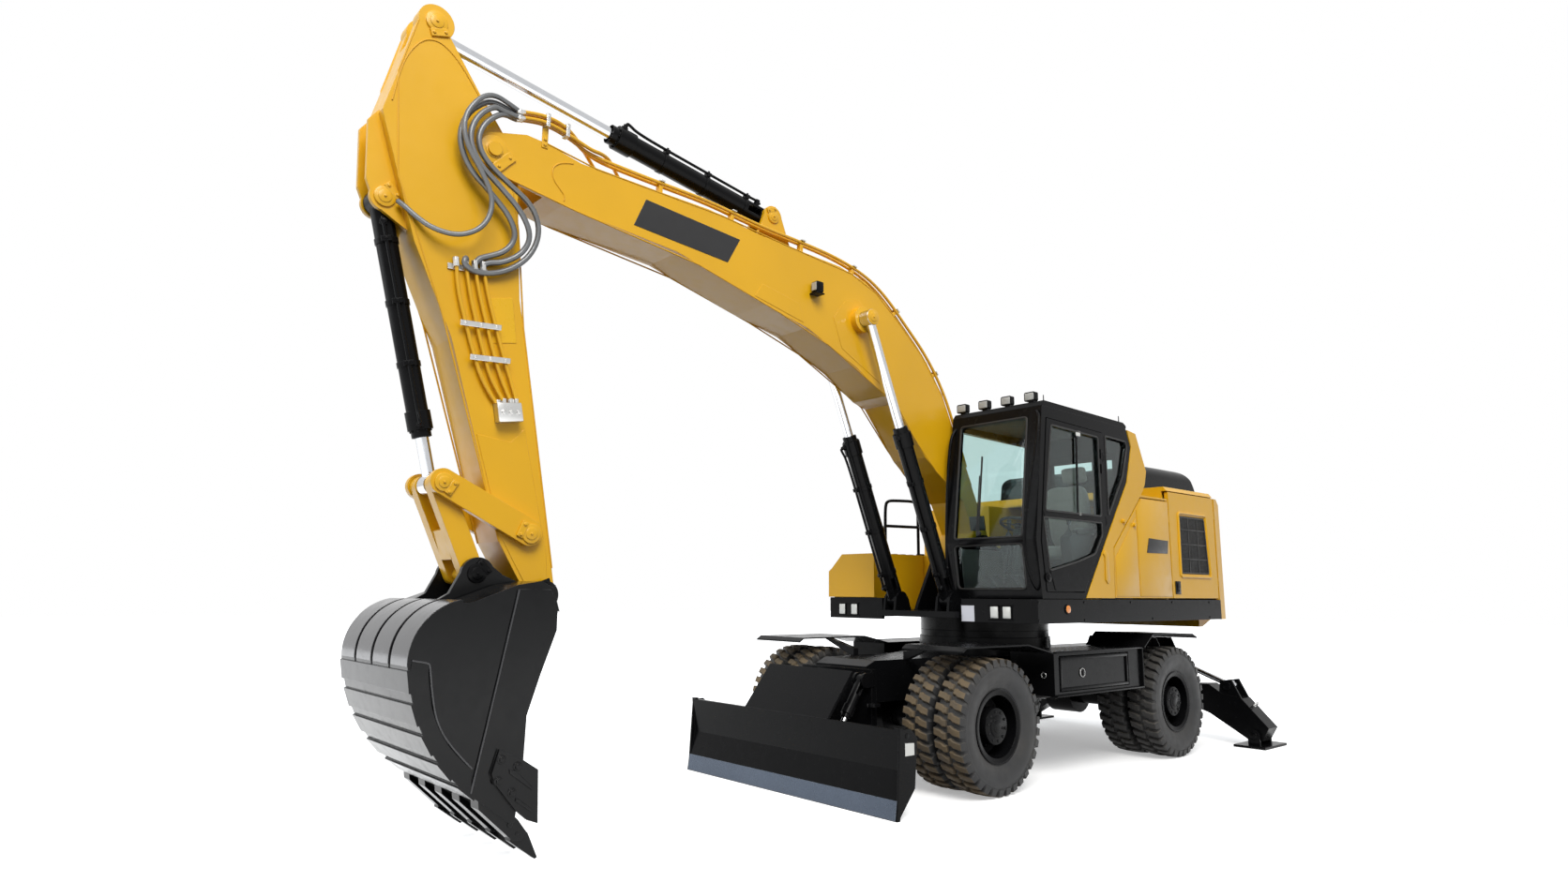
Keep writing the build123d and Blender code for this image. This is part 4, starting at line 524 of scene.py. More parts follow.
def disc(mesh, centre, axis, radius, depth, segments=32, round_off=0.0, tip=None):
    """A disc or post from centre along an axis, with the far rim broken."""
    toward = Vector(axis).normalized()
    turned = toward.to_track_quat("Z", "Y").to_matrix().to_4x4()
    middle = Vector(centre) + toward * depth / 2
    made = bmesh.ops.create_cone(
        mesh, cap_ends=True, segments=segments, radius1=radius, radius2=radius if tip is None else tip,
            depth=depth,
        matrix=Matrix.Translation(middle) @ turned,
    )["verts"]
    if round_off:
        far = [corner for corner in made if (corner.co - middle).dot(toward) > 0]
        rim = [edge for edge in {edge for corner in far for edge in corner.link_edges} if all(end in far
            for end in edge.verts)]
        bmesh.ops.bevel(
            mesh, geom=rim, offset=round_off, segments=2, affect="EDGES", profile=0.5, material=-1,
                clamp_overlap=True
        )


for wheel, (axle_x, side) in wheels.items():
    hub = bmesh.new()
    out = (0, side, 0)
    disc(hub, (axle_x, side * 1.09, tyre_radius), out, hub_radius, hub_face - 1.09, 48, 0.010)
    disc(hub, (axle_x, side * (hub_face - 0.004), tyre_radius), out, 0.082, 0.012, 40, 0.006)
    disc(hub, (axle_x, side * (hub_face + 0.006), tyre_radius), out, 0.050, 0.005, 32, 0.003)
    for screw in range(10):
        turn_to = tau * screw / 10 + 0.2
        spot = (axle_x + 0.113 * cos(turn_to), side * (hub_face - 0.004),
            tyre_radius + 0.113 * sin(turn_to))
        disc(hub, spot, out, 0.0115, 0.010, 6, 0.002)
    for plug in (0.9, 3.4):
        spot = (axle_x + 0.064 * cos(plug), side * (hub_face + 0.006), tyre_radius + 0.064 * sin(plug))
        disc(hub, spot, out, 0.009, 0.006, 12, 0.002)
    for nut in range(10):
        turn_to = tau * nut / 10
        spot = (axle_x + 0.172 * cos(turn_to), side * 1.024, tyre_radius + 0.172 * sin(turn_to))
        disc(hub, spot, out, 0.016, 0.026, 6, 0.003)
    finished(hub, f"hub_{wheel}", black_paint, f"wheel_{wheel}", 30)

# ---- boom and arm trim
# Bolted and welded trim of the working gear: pin ends with keeper plates, thin doubler plates,
# weld beads along the box seams, the arm's arch and the boom's nose, and two blank plates.
weld_bead = finish("weld_bead", (0.66, 0.34, 0.003), (0.7, 0.4, 0.05), 0.12, 0.2, 0.42, 0.9)
blank_plate = finish("blank_dark_plate", (0.012, 0.012, 0.013), (0.05, 0.05, 0.05), 0.05, 0.3, 0.38, 0.2)
blank_yellow = finish("blank_yellow_plate", (0.74, 0.42, 0.006), (0.78, 0.5, 0.06), 0.04, 0.3, 0.28, 0.05)


def pin_end(mesh, place, out, radius, keeper_turn=None, reach=1.0):
    """A pin's end cap with its middle, and a keeper bar held by two bolts."""
    place, out = Vector(place), Vector(out)
    disc(mesh, place, out, radius, 0.012 * reach, 36, 0.004)
    disc(mesh, place + out * 0.012 * reach, out, radius * 0.62, 0.004, 28, 0.002)
    disc(mesh, place + out * (0.012 * reach + 0.004), out, 0.008, 0.008, 10, 0.002)
    if keeper_turn is not None:
        along = Vector((cos(keeper_turn), 0, sin(keeper_turn)))
        across = out.cross(along)
        middle = place + along * radius * 1.02
        corners = [
            middle + along * a * radius * 0.36 + across * b * radius * 0.85 for a,
                b in ((-1, -1), (1, -1), (1, 1), (-1, 1))
        ]
        plate(mesh, corners, out * 0.014, 0.003)
        for b in (-0.55, 0.55):
            disc(mesh, middle + across * b * radius + out * 0.014, out, 0.011, 0.008, 6, 0.002)


# (body, [(x, z, y of the face, radius, keeper direction)])
pin_ends = {
    "boom": [(5.370, 4.430, 0.200, 0.098, -2.4), (2.870, 4.700, 0.100, 0.058, 1.2),
        (0.280, 2.000, 0.200, 0.085, None)],
    "arm": [(5.787, 5.190, 0.165, 0.072, -1.9), (6.000, 3.948, 0.100, 0.066, 2.3),
        (4.977, 1.914, 0.219, 0.064, 0.4)],
    "boom_rods": [(1.940, 3.950, 0.365, 0.070, None)],
    "idlers": [(5.560, 2.200, 0.219, 0.058, -2.6)],
    "bucket": [(4.855, 1.525, 0.213, 0.070, 1.2), (5.316, 1.655, 0.213, 0.060, 2.4)],
}
for body, ends in pin_ends.items():
    caps = bmesh.new()
    for end_x, end_z, face_y, radius, keeper in ends:
        for side in (1, -1):
            pin_end(caps, (end_x, side * face_y, end_z), (0, side, 0), radius, keeper)
    finished(caps, f"pin_ends_{body}", black_paint if body in ("bucket",) else yellow_paint, body, 30)


def side_plates(name, outlines, face_y, thick, material, body, round_off=0.0015):
    """Flat plates in the side view, one on each cheek of a box beam."""
    plates = bmesh.new()
    for outline in outlines:
        for side in (1, -1):
            plate(plates, [(x, side * face_y, z) for x, z in outline], (0, side * thick, 0), round_off)
    return finished(plates, name, material, body, 30)


side_plates(
    "arm_doublers",
    (
        ((5.035, 2.60), (5.125, 2.50), (5.355, 2.53), (5.155, 1.89), (5.05, 1.715), (4.93, 1.52),
            (4.815, 1.53), (4.84, 1.80)),
        ((5.53, 4.43), (5.45, 4.29), (5.31, 4.28), (5.205, 4.40), (5.30, 4.56), (5.45, 4.60)),
    ),
    0.165, 0.004, yellow_paint, "arm",
)
side_plates(
    "boom_doublers",
    (
        ((2.16, 3.66), (1.68, 3.42), (1.60, 3.60), (1.76, 3.98), (1.94, 4.14), (2.12, 4.10), (2.26, 3.92)),
        ((3.14, 3.92), (2.60, 3.80), (2.66, 3.96), (3.06, 4.04)),
    ),
    0.200, 0.003, yellow_paint, "boom",
)
side_plates("boom_blank_plate", (((4.188, 4.432), (3.30, 4.352), (3.419, 4.133), (4.285, 4.207)),), 0.200,
    0.003, blank_plate, "boom", 0)
side_plates("arm_blank_plate", (((5.338, 3.424), (5.166, 3.462), (5.123, 3.163), (5.294, 3.131)),), 0.165,
    0.003, blank_yellow, "arm", 0)


def bead_run(name, runs, radius, material, body, order=2):
    """Round bar, pipe or weld bead along runs of points, as a closed mesh."""
    curve = bpy.data.curves.new(name, "CURVE")
    curve.dimensions = "3D"
    curve.bevel_depth = radius
    curve.bevel_resolution = 3
    curve.use_fill_caps = True
    for run in runs:
        spline = curve.splines.new("NURBS")
        spline.points.add(len(run) - 1)
        for point, place in zip(spline.points, run):
            point.co = (*place, 1)
        spline.order_u = order
        spline.use_endpoint_u = True
        spline.resolution_u = 6 if order > 2 else 1
    holder = bpy.data.objects.new(name, curve)
    data = bpy.data.meshes.new_from_object(holder)
    bpy.data.objects.remove(holder)
    data.name = name
    for polygon in data.polygons:
        polygon.use_smooth = True
    data.materials.clear()
    data.materials.append(material)
    made = bpy.data.objects.new(name, data)
    scene.collection.objects.link(made)
    if body:
        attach(made, body)
    return made


arm_back = ((5.441, 4.760), (5.297, 4.576), (5.187, 4.415), (5.117, 3.460), (5.066, 3.212), (4.792, 1.70))
arm_front = ((5.165, 1.858), (5.552, 3.118), (5.825, 3.690), (6.074, 4.480), (5.973, 4.858), (5.900, 5.16))
boom_under = (
    (0.534, 2.436), (0.902, 2.678), (1.073, 2.809), (1.466, 3.268), (1.617, 3.313), (1.990, 3.524),
        (2.564, 3.766),
    (3.027, 3.867), (3.893, 4.098), (4.860, 4.189), (5.263, 4.264),
)
boom_upper = (
    (5.001, 4.602), (4.729, 4.541), (3.601, 4.521), (3.108, 4.451), (2.181, 4.400), (1.859, 4.330),
        (1.607, 4.199),
    (1.345, 3.977), (1.033, 3.726), (0.801, 3.413), (0.400, 2.600),
)
for name, edges, face_y, body in (
    ("arm_weld_seams", (arm_back, arm_front), 0.164, "arm"),
        ("boom_weld_seams", (boom_under, boom_upper), 0.199, "boom"),
):
    bead_run(name, [[(x, side * face_y, z) for x, z in edge] for edge in edges for side in (1, -1)], 0.006,
        weld_bead, body)
arm_arch = ((6.021, 4.556), (6.000, 4.705), (5.964, 4.864), (5.906, 4.978), (5.845, 5.045), (5.768, 5.063),
    (5.690, 5.032), (5.578, 4.928), (5.453, 4.752))
boom_nose_edge = ((4.792, 4.519), (4.852, 4.507), (4.911, 4.480), (4.950, 4.433), (4.941, 4.362),
    (4.881, 4.300), (4.840, 4.262), (4.850, 4.225))
bead_run("arm_arch_weld", [[(x, side * 0.1655, z) for x, z in arm_arch] for side in (1, -1)], 0.0055,
    weld_bead, "arm", 3)
bead_run("boom_nose_weld", [[(x, side * 0.2005, z) for x, z in boom_nose_edge] for side in (1, -1)], 0.0055,
    weld_bead, "boom", 3)
bead_run(
    "boom_seam_rings",
    [[(x, side * 0.2005, low), (x, side * 0.2005, high)] for x, low,
    high in ((4.725, 4.180, 4.530), (3.000, 3.880, 4.440)) for side in (1, -1)],
    0.0035, weld_bead, "boom",
)

# ---- pipes and hoses of the working gear
# Painted steel pipes run along the boom and down the arm in clamps. Over the joint they change
# to hydraulic hoses in grey spiral guard, held in swivel fittings at both ends.
hose_black = finish("hose_cover", (0.014, 0.014, 0.015), (0.05, 0.05, 0.05), 0.10, 0.2, 0.50, 0.5)
hose_guard = finish("spiral_guard", (0.15, 0.155, 0.16), (0.2, 0.2, 0.2), 0.1, 0.3, 0.34, 0.2,
    metallic=0.35)
clamp_steel = finish("clamp_steel", (0.52, 0.52, 0.51), (0.65, 0.65, 0.65), 0.1, 0.3, 0.30, 0.2, 0.0, 1.0)

pipe_tail = (
    (4.04, 4.615), (3.60, 4.605), (3.10, 4.545), (2.60, 4.52), (2.20, 4.49), (1.83, 4.41), (1.56, 4.27),
        (1.30, 4.05),
    (1.00, 3.80), (0.76, 3.49), (0.60, 3.16), (0.44, 2.78),
)
# (y along the boom, the run from the nose back; the right-hand pair crosses over to the left)
nose_runs = (
    (0.170, ((5.20, 0.199, 4.705), (5.10, 0.199, 4.727), (5.02, 0.199, 4.733), (4.92, 0.199, 4.722),
        (4.80, 0.194, 4.690), (4.66, 0.170, 4.645), (4.41, 0.170, 4.630))),
    (0.122, ((5.20, 0.199, 4.747), (5.10, 0.199, 4.769), (5.02, 0.199, 4.775), (4.92, 0.201, 4.765),
        (4.82, 0.186, 4.738), (4.70, 0.130, 4.680), (4.56, 0.122, 4.642),
             (4.41, 0.122, 4.630))),
    (-0.122, ((5.20, 0.235, 4.747), (5.10, 0.235, 4.769), (5.02, 0.235, 4.775), (4.92, 0.230, 4.768),
        (4.82, 0.200, 4.748), (4.70, 0.120, 4.716), (4.56, 0.000, 4.690),
              (4.44, -0.090, 4.650), (4.30, -0.122, 4.627))),
    (-0.170, ((5.20, 0.235, 4.705), (5.10, 0.235, 4.727), (5.02, 0.235, 4.733), (4.92, 0.230, 4.722),
        (4.80, 0.222, 4.695), (4.66, 0.212, 4.660), (4.56, 0.190, 4.672),
              (4.46, 0.120, 4.680), (4.34, 0.000, 4.672), (4.22, -0.110, 4.648), (4.12, -0.162, 4.624))),
)
bead_run(
    "boom_pipes", [[*nose, *((x, y, z) for x, z in pipe_tail)] for y, nose in nose_runs], 0.014,
        yellow_paint, "boom", 3,
)
arm_pipe_lines = (
    ((5.561, 3.600), (5.556, 3.47), (5.478, 3.222), (5.410, 3.019), (5.340, 2.848), (5.241, 2.728)),
    ((5.500, 3.604), (5.480, 3.475), (5.405, 3.215), (5.340, 3.013), (5.280, 2.858), (5.195, 2.750)),
    ((5.440, 3.606), (5.420, 3.485), (5.345, 3.245), (5.270, 3.013), (5.210, 2.868), (5.150, 2.760)),
    ((5.385, 3.610), (5.362, 3.490), (5.290, 3.262), (5.205, 3.013), (5.150, 2.875), (5.108, 2.760)),
)
bead_run("arm_pipes", [[(x, 0.192, z) for x, z in line] for line in arm_pipe_lines], 0.0125, yellow_paint,
    "arm", 3)

trim = bmesh.new()
boom_clamps = ((4.04, 4.615, 0.02), (3.35, 4.575, 0.12), (2.60, 4.52, 0.1), (1.98, 4.44, 0.25),
    (1.42, 4.15, 0.72), (0.88, 3.64, 0.9))
for clamp_x, clamp_z, tilt in boom_clamps:
    along = Vector((cos(tilt), 0, sin(tilt)))
    up = Vector((-sin(tilt), 0, cos(tilt)))
    for side in (1, -1):
        middle = Vector((clamp_x, side * 0.146, clamp_z)) + up * 0.020
        corners = [middle + along * a + Vector((0, b, 0)) for a,
            b in ((-0.022, -0.050), (0.022, -0.050), (0.022, 0.050), (-0.022, 0.050))]
        plate(trim, corners, -up * 0.010, 0.002)
        disc(trim, middle, up, 0.010, 0.012, 6, 0.002)
finished(trim, "pipe_clamps_boom", clamp_steel, "boom", 30)
trim = bmesh.new()
for clamp_x, clamp_z, tilt in ((5.385, 3.225, 0.27), (5.31, 3.015, 0.3)):
    along = Vector((cos(tilt), 0, -sin(tilt) * 0.2))
    middle = Vector((clamp_x, 0.206, clamp_z))
    corners = [middle + along * a + Vector((0, 0, b)) for a,
        b in ((-0.14, -0.018), (0.14, -0.018), (0.14, 0.018), (-0.14, 0.018))]
    plate(trim, corners, (0, 0.008, 0), 0.002)
    for a in (-0.105, 0.0, 0.105):
        disc(trim, middle + along * a + Vector((0, 0.008, 0)), (0, 1, 0), 0.010, 0.009, 6, 0.002)
finished(trim, "pipe_clamps_arm", clamp_steel, "arm", 30)

# brackets under the boom clamps, and the arm's own clamps and valve block
stands = bmesh.new()
for clamp_x, clamp_z, tilt in boom_clamps:
    along = Vector((cos(tilt), 0, sin(tilt)))
    up = Vector((-sin(tilt), 0, cos(tilt)))
    for side in (1, -1):
        middle = Vector((clamp_x, side * 0.146, clamp_z)) - up * 0.014
        corners = [middle + along * a + Vector((0, b, 0)) for a,
            b in ((-0.016, -0.026), (0.016, -0.026), (0.016, 0.026), (-0.016, 0.026))]
        plate(stands, corners, -up * 0.085, 0.003)
finished(stands, "pipe_stands", yellow_paint, "boom", 30)
block = bmesh.new()
plate(block, [(5.262, 0.166, 2.735), (5.098, 0.166, 2.755), (5.075, 0.166, 2.635), (5.238, 0.166, 2.610)],
    (0, 0.075, 0), 0.006, 2)
for port_x, port_z in ((5.235, 2.728), (5.195, 2.742), (5.150, 2.748), (5.112, 2.752)):
    disc(block, (port_x, 0.192, port_z - 0.012), (0.1, 0, 1), 0.019, 0.045, 6, 0.003)
for port_x, port_z in ((5.215, 2.675), (5.165, 2.680), (5.115, 2.688)):
    disc(block, (port_x, 0.238, port_z), (0, 1, 0), 0.016, 0.018, 6, 0.003)
for fit_x, fit_z in ((5.561, 3.600), (5.500, 3.604), (5.440, 3.606), (5.385, 3.610)):
    disc(block, (fit_x, 0.192, fit_z - 0.02), (0.15, 0, 1), 0.021, 0.060, 6, 0.003)
plate(block, [(5.61, 0.166, 3.56), (5.35, 0.166, 3.575), (5.353, 0.166, 3.612), (5.613, 0.166, 3.598)],
    (0, 0.012, 0), 0.002)
finished(block, "arm_valve_block", clamp_steel, "arm", 30)

joint_hoses = (
    (
        (5.225, 0.233, 4.700), (5.29, 0.246, 4.694), (5.36, 0.264, 4.690), (5.42, 0.282, 4.690),
            (5.53, 0.285, 4.580),
        (5.575, 0.283, 4.420), (5.50, 0.283, 4.262), (5.34, 0.280, 4.150), (5.18, 0.275, 4.020),
            (5.10, 0.260, 3.880),
        (5.145, 0.235, 3.755), (5.27, 0.208, 3.668), (5.36, 0.193, 3.655), (5.389, 0.192, 3.628),
    ),
    (
        (5.225, 0.196, 4.742), (5.30, 0.210, 4.744), (5.39, 0.234, 4.745), (5.47, 0.250, 4.715),
            (5.59, 0.248, 4.585),
        (5.625, 0.246, 4.400), (5.545, 0.246, 4.225), (5.39, 0.243, 4.110), (5.25, 0.240, 3.985),
            (5.19, 0.228, 3.860),
        (5.25, 0.210, 3.750), (5.37, 0.196, 3.690), (5.425, 0.192, 3.665), (5.443, 0.192, 3.624),
    ),
    (
        (5.225, 0.196, 4.700), (5.27, 0.216, 4.690), (5.31, 0.242, 4.682), (5.37, 0.262, 4.660),
            (5.47, 0.264, 4.560),
        (5.51, 0.262, 4.430), (5.45, 0.260, 4.310), (5.29, 0.258, 4.205), (5.10, 0.255, 4.100),
            (5.03, 0.245, 3.930),
        (5.09, 0.225, 3.740), (5.26, 0.205, 3.600), (5.44, 0.196, 3.560), (5.53, 0.215, 3.60),
            (5.505, 0.200, 3.660), (5.503, 0.192, 3.622),
    ),
)
for count, route in enumerate(joint_hoses):
    hose = bead_run(f"joint_hose_{count + 1}", [route], 0.019, hose_guard, None, 3)
    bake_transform(hose)
side_hose = (
    (5.225, 0.234, 4.744), (5.31, 0.256, 4.760), (5.43, 0.288, 4.768), (5.53, 0.300, 4.700),
        (5.62, 0.300, 4.540),
    (5.60, 0.298, 4.370), (5.47, 0.298, 4.200), (5.385, 0.296, 4.030), (5.43, 0.290, 3.850),
        (5.58, 0.270, 3.750),
    (5.74, 0.230, 3.770), (5.84, 0.190, 3.840), (5.90, 0.160, 3.900), (5.93, 0.130, 3.93),
)
hose = bead_run("joint_hose_4", [side_hose], 0.017, hose_guard, None, 3)
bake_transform(hose)
ends = bmesh.new()
for y in (0.200, 0.236):
    for z in (4.713, 4.755):
        disc(ends, (5.185, y, z - 0.008), (1, 0.03, -0.15), 0.0175, 0.058, 6, 0.003)
        disc(ends, (5.215, y + 0.001, z - 0.012), (1, 0.03, -0.15), 0.0185, 0.016, 20, 0.003)
for clamp_x in (5.000, 4.850):
    drop = 0.0 if clamp_x > 4.9 else 0.022
    plate(ends, [(clamp_x, 0.182, 4.706 - drop), (clamp_x, 0.250, 4.706 - drop),
        (clamp_x, 0.250, 4.800 - drop), (clamp_x, 0.182, 4.800 - drop)], (0.030, 0, 0), 0.003)
    for z in (4.730, 4.776):
        disc(ends, (clamp_x + 0.015, 0.249, z - drop), (0, 1, 0), 0.010, 0.010, 6, 0.002)
finished(ends, "boom_nose_fittings", clamp_steel, "boom", 30)
bracket = bmesh.new()
plate(bracket, [(4.992, 0.199, 4.560), (5.038, 0.199, 4.560), (5.038, 0.199, 4.712), (4.992, 0.199, 4.712)],
    (0, 0.008, 0), 0.003)
for z in (4.585, 4.625):
    disc(bracket, (5.015, 0.206, z), (0, 1, 0), 0.012, 0.010, 6, 0.002)
finished(bracket, "boom_nose_bracket", yellow_paint, "boom", 30)

# ---- cylinder plumbing
# Each cylinder carries a steel pipe to its gland end in saddle clamps, a port block at both ends
# and gland bolts. Pipes and saddles are black like the barrels.
# (piece, body, foot pin, rod pin, tube radius, tube length, side the pipe lies on)
cylinders = (
    ("arm_cylinder", "arm_barrel", (2.870, 0, 4.700), (5.787, 0, 5.190), 0.080, 1.560, (0, 0.55, 1)),
    ("bucket_cylinder", "bucket_barrel", (6.000, 0, 3.948), (5.560, 0, 2.200), 0.066, 1.500, (0.35, 1, 0)),
    ("boom_cylinder_left", "boom_barrels", (0.930, 0.320, 1.500), (1.940, 0.320, 3.950), 0.072, 1.640,
    (1, 0.25, 0)),
    ("boom_cylinder_right", "boom_barrels", (0.930, -0.320, 1.500), (1.940, -0.320, 3.950), 0.072, 1.640,
    (1, -0.25, 0)),
)
for name, body, foot, tip, tube, length, lean in cylinders:
    foot, tip = Vector(foot), Vector(tip)
    along = (tip - foot).normalized()
    out = Vector(lean)
    out = (out - along * out.dot(along)).normalized()
    dress = bmesh.new()
    for at in (0.16, 0.42, 0.68):
        middle = foot + along * length * at
        outline = [
            middle + out * (tube - 0.004), middle + out * (tube + 0.006),
                middle + out * (tube + 0.006) + along * 0.035,
            middle + out * (tube - 0.004) + along * 0.035,
        ]
        spun(dress, outline, middle, along, 32)
        sideways = out.cross(along)
        saddle = middle + out * (tube + 0.002)
        corners = [saddle + sideways * a + along * b for a, b in ((-0.032, 0), (0.032, 0), (0.032, 0.035),
            (-0.032, 0.035))]
        plate(dress, corners, out * 0.034, 0.004)
        disc(dress, saddle + out * 0.034 + along * 0.0175, out, 0.009, 0.010, 6, 0.002)
    for nut in range(8):
        turn_to = Matrix.Rotation(tau * nut / 8 + 0.2, 3, along)
        disc(dress, foot + along * (length - 0.7 * tube) + turn_to @ out * (tube * 0.90), along, 0.0095,
            0.012, 6, 0.002)
    finished(dress, f"{name}_saddles", black_paint, body, 30)
    gland, base = foot + along * (length - 1.2 * tube), foot + along * 0.15
    lift = out * (tube + 0.024)
    run = [
        gland + out * tube * 0.9, gland + out * (tube + 0.05), gland + out * (tube + 0.052) - along * 0.02,
            gland + lift - along * 0.12,
        foot + along * length * 0.5 + lift, foot + along * 0.30 + lift, foot + along * 0.20 + lift,
        foot + along * 0.14 + out * (tube + 0.03), foot + along * 0.12 + out * (tube + 0.01),
    ]
    bead_run(f"{name}_pipe", [run], 0.0115, black_paint, body, 3)
    ports = bmesh.new()
    for port in (gland, base):
        disc(ports, port + out * (tube - 0.006), out, 0.027, 0.030, 6, 0.004)
        disc(ports, port + out * (tube + 0.020), out, 0.018, 0.022, 16, 0.003)
    finished(ports, f"{name}_ports", black_paint, body, 30)

# ---- cab glazing seals, wiper and rails
# Windscreen, lower pane and door windows sit in black rubber seals. A pantograph wiper sweeps the
# screen; bent tube handrails stand on both front pillars.
seal_rubber = finish("seal_rubber", (0.006, 0.006, 0.006), (0.03, 0.03, 0.03), 0.05, 0.1, 0.55, 0.3)


def loop(name, corners, radius, material, body, soft=0.07):
    """A closed seal or tube round an opening, with rounded corners."""
    corners = [Vector(corner) for corner in corners]
    run = []
    for before, corner, after in zip(corners[-1:] + corners[:-1], corners, corners[1:] + corners[:1]):
        run += [corner + (before - corner).normalized() * soft, corner,
            corner + (after - corner).normalized() * soft]
    start = (run[-1] + run[0]) / 2
    return bead_run(name, [[start, *run, start]], radius, material, body, 3)


def screen_x(z, out=0.0):
    """How far forward the windscreen face stands at a height."""
    return (0.820 + (z - 1.520) * 0.1205 if z < 2.018 else 0.880 - (z - 2.018) * 0.1311) + out


loop(
    "windscreen_seal",
    [(screen_x(z, -0.004), y, z) for y, z in ((0.358, 2.048), (1.092, 2.048), (1.092, 3.112),
    (0.358, 3.112))],
    0.011, seal_rubber, "upper",
)
loop(
    "lower_pane_seal",
    [(screen_x(z, -0.004), y, z) for y, z in ((0.358, 1.598), (1.092, 1.598), (1.092, 1.987),
    (0.358, 1.987))],
    0.011, seal_rubber, "upper", 0.10,
)
loop(
    "door_window_seals", [(x, 1.243, z) for x, z in ((0.735, 2.275), (0.600, 3.040), (-0.165, 3.015),
        (-0.165, 2.275))],
    0.009, seal_rubber, "cab_door", 0.05,
)
loop(
    "door_pane_seal",
    [(x, 1.243, z) for x, z in ((0.765, 2.215), (-0.165, 2.215), (-0.165, 2.100), (-0.03, 1.925),
    (0.25, 1.85), (0.70, 1.76))],
    0.009, seal_rubber, "cab_door", 0.045,
)
loop(
    "quarter_pane_seal", [(x, 1.240, z) for x, z in ((-0.300, 3.045), (-0.300, 2.290), (-0.590, 2.690),
        (-0.690, 2.970), (-0.670, 3.030))],
    0.009, seal_rubber, "upper", 0.045,
)
crossbar = bmesh.new()
plate(
    crossbar, [(screen_x(z, 0.002), y, z) for y, z in ((0.425, 2.000), (1.130, 2.000), (1.130, 2.040),
        (0.425, 2.040))],
    (0.012, 0, 0), 0.004, 2,
)
finished(crossbar, "windscreen_crossbar", black_paint, "upper", 30)

wiper = bmesh.new()
disc(wiper, (screen_x(2.09, -0.002), 0.640, 2.090), (1, 0, 0.13), 0.022, 0.030, 24, 0.004)
for y in (0.628, 0.648):
    plate(
        wiper,
        [(screen_x(2.09, 0.026), y - 0.006, 2.085), (screen_x(2.09, 0.026), y + 0.006, 2.085),
        (screen_x(2.60, 0.022), y + 0.005, 2.62),
         (screen_x(2.60, 0.022), y - 0.005, 2.62)],
        (0.006, 0, 0), 0.001,
    )
plate(
    wiper,
    [(screen_x(2.24, 0.006), 0.628, 2.24), (screen_x(2.24, 0.006), 0.642, 2.24),
    (screen_x(2.80, 0.006), 0.642, 2.80),
     (screen_x(2.80, 0.006), 0.628, 2.80)],
    (0.014, 0, 0), 0.002,
)
finished(wiper, "windscreen_wiper", seal_rubber, "upper", 30)

rail_runs = (
    [(0.742, 1.20, 3.150), (0.775, 1.24, 3.130), (0.812, 1.252, 2.95), (0.868, 1.215, 2.60),
        (0.925, 1.185, 2.30), (0.960, 1.170, 2.02),
     (0.950, 1.175, 1.82), (0.905, 1.20, 1.66), (0.850, 1.205, 1.60), (0.828, 1.20, 1.60)],
)
bead_run("front_pillar_rail", rail_runs, 0.012, black_paint, "upper", 3)
bead_run(
    "inner_pillar_rail",
    [[(0.735, 0.300, 3.10), (0.780, 0.285, 3.06), (0.820, 0.275, 2.86), (0.845, 0.268, 2.55),
    (0.862, 0.262, 2.20), (0.870, 0.262, 1.95),
      (0.868, 0.264, 1.66), (0.855, 0.275, 1.58), (0.828, 0.290, 1.58)]],
    0.015, black_paint, "upper", 3,
)

# ---- cab roof and door fittings
# Lamp lenses in their housings, aerial stubs, a rain gutter and a roof hatch outside; the door
# has a sliding pane with a bar and catch, long hinges, a latch and a pull.
lamp_lens = finish("work_lamp_lens", (0.40, 0.41, 0.40), (0.5, 0.5, 0.5), 0.12, 0.1, 0.30, 1.0, 0.4)
lamp_white = finish("clear_lens", (0.72, 0.73, 0.70), (0.8, 0.8, 0.8), 0.08, 0.1, 0.16, 0.6, 0.6)
lamp_amber = finish("amber_lens", (0.85, 0.26, 0.01), (0.9, 0.4, 0.05), 0.05, 0.1, 0.18, 0.5, 0.6)
lamp_red = finish("red_lens", (0.42, 0.008, 0.006), (0.5, 0.05, 0.05), 0.05, 0.1, 0.18, 0.5, 0.6)

lens = bmesh.new()
for lamp_y in (0.335, 0.588, 0.842, 1.095):
    plate(lens, [(0.691, lamp_y + y, 3.304 + z) for y, z in ((-0.046, -0.032), (0.046, -0.032),
        (0.046, 0.032), (-0.046, 0.032))], (0.006, 0, 0), 0.004, 2)
    for bar in range(-3, 4):
        plate(lens, [(0.696, lamp_y + bar * 0.012 + y, 3.304 + z) for y,
            z in ((-0.0015, -0.028), (0.0015, -0.028), (0.0015, 0.028), (-0.0015, 0.028))], (0.003, 0, 0))
finished(lens, "work_lamp_lenses", lamp_lens, "upper", 30)
roof_trim = bmesh.new()
for aerial_x, aerial_y, aerial_z in ((0.640, 1.205, 3.225), (-0.66, 1.19, 3.205)):
    disc(roof_trim, (aerial_x, aerial_y, aerial_z), (0, 0, 1), 0.012, 0.012, 16, 0.003)
    disc(roof_trim, (aerial_x, aerial_y, aerial_z + 0.010), (0, 0, 1), 0.005, 0.075, 12, 0.002, 0.004)
plate(roof_trim, [(x, y, 3.228 + (0.33 - x) * -0.012) for x,
    y in ((-0.40, 0.45), (0.42, 0.45), (0.42, 1.02), (-0.40, 1.02))], (0, 0, 0.020), 0.012, 2)
for side_y in (0.262, 1.236):
    plate(roof_trim, [(0.700, side_y, 3.222), (0.700, side_y, 3.240), (-0.640, side_y, 3.215),
        (-0.640, side_y, 3.197)], (0, -0.012 if side_y > 1 else 0.012, 0), 0.003)
finished(roof_trim, "roof_trim", black_paint, "upper", 30)

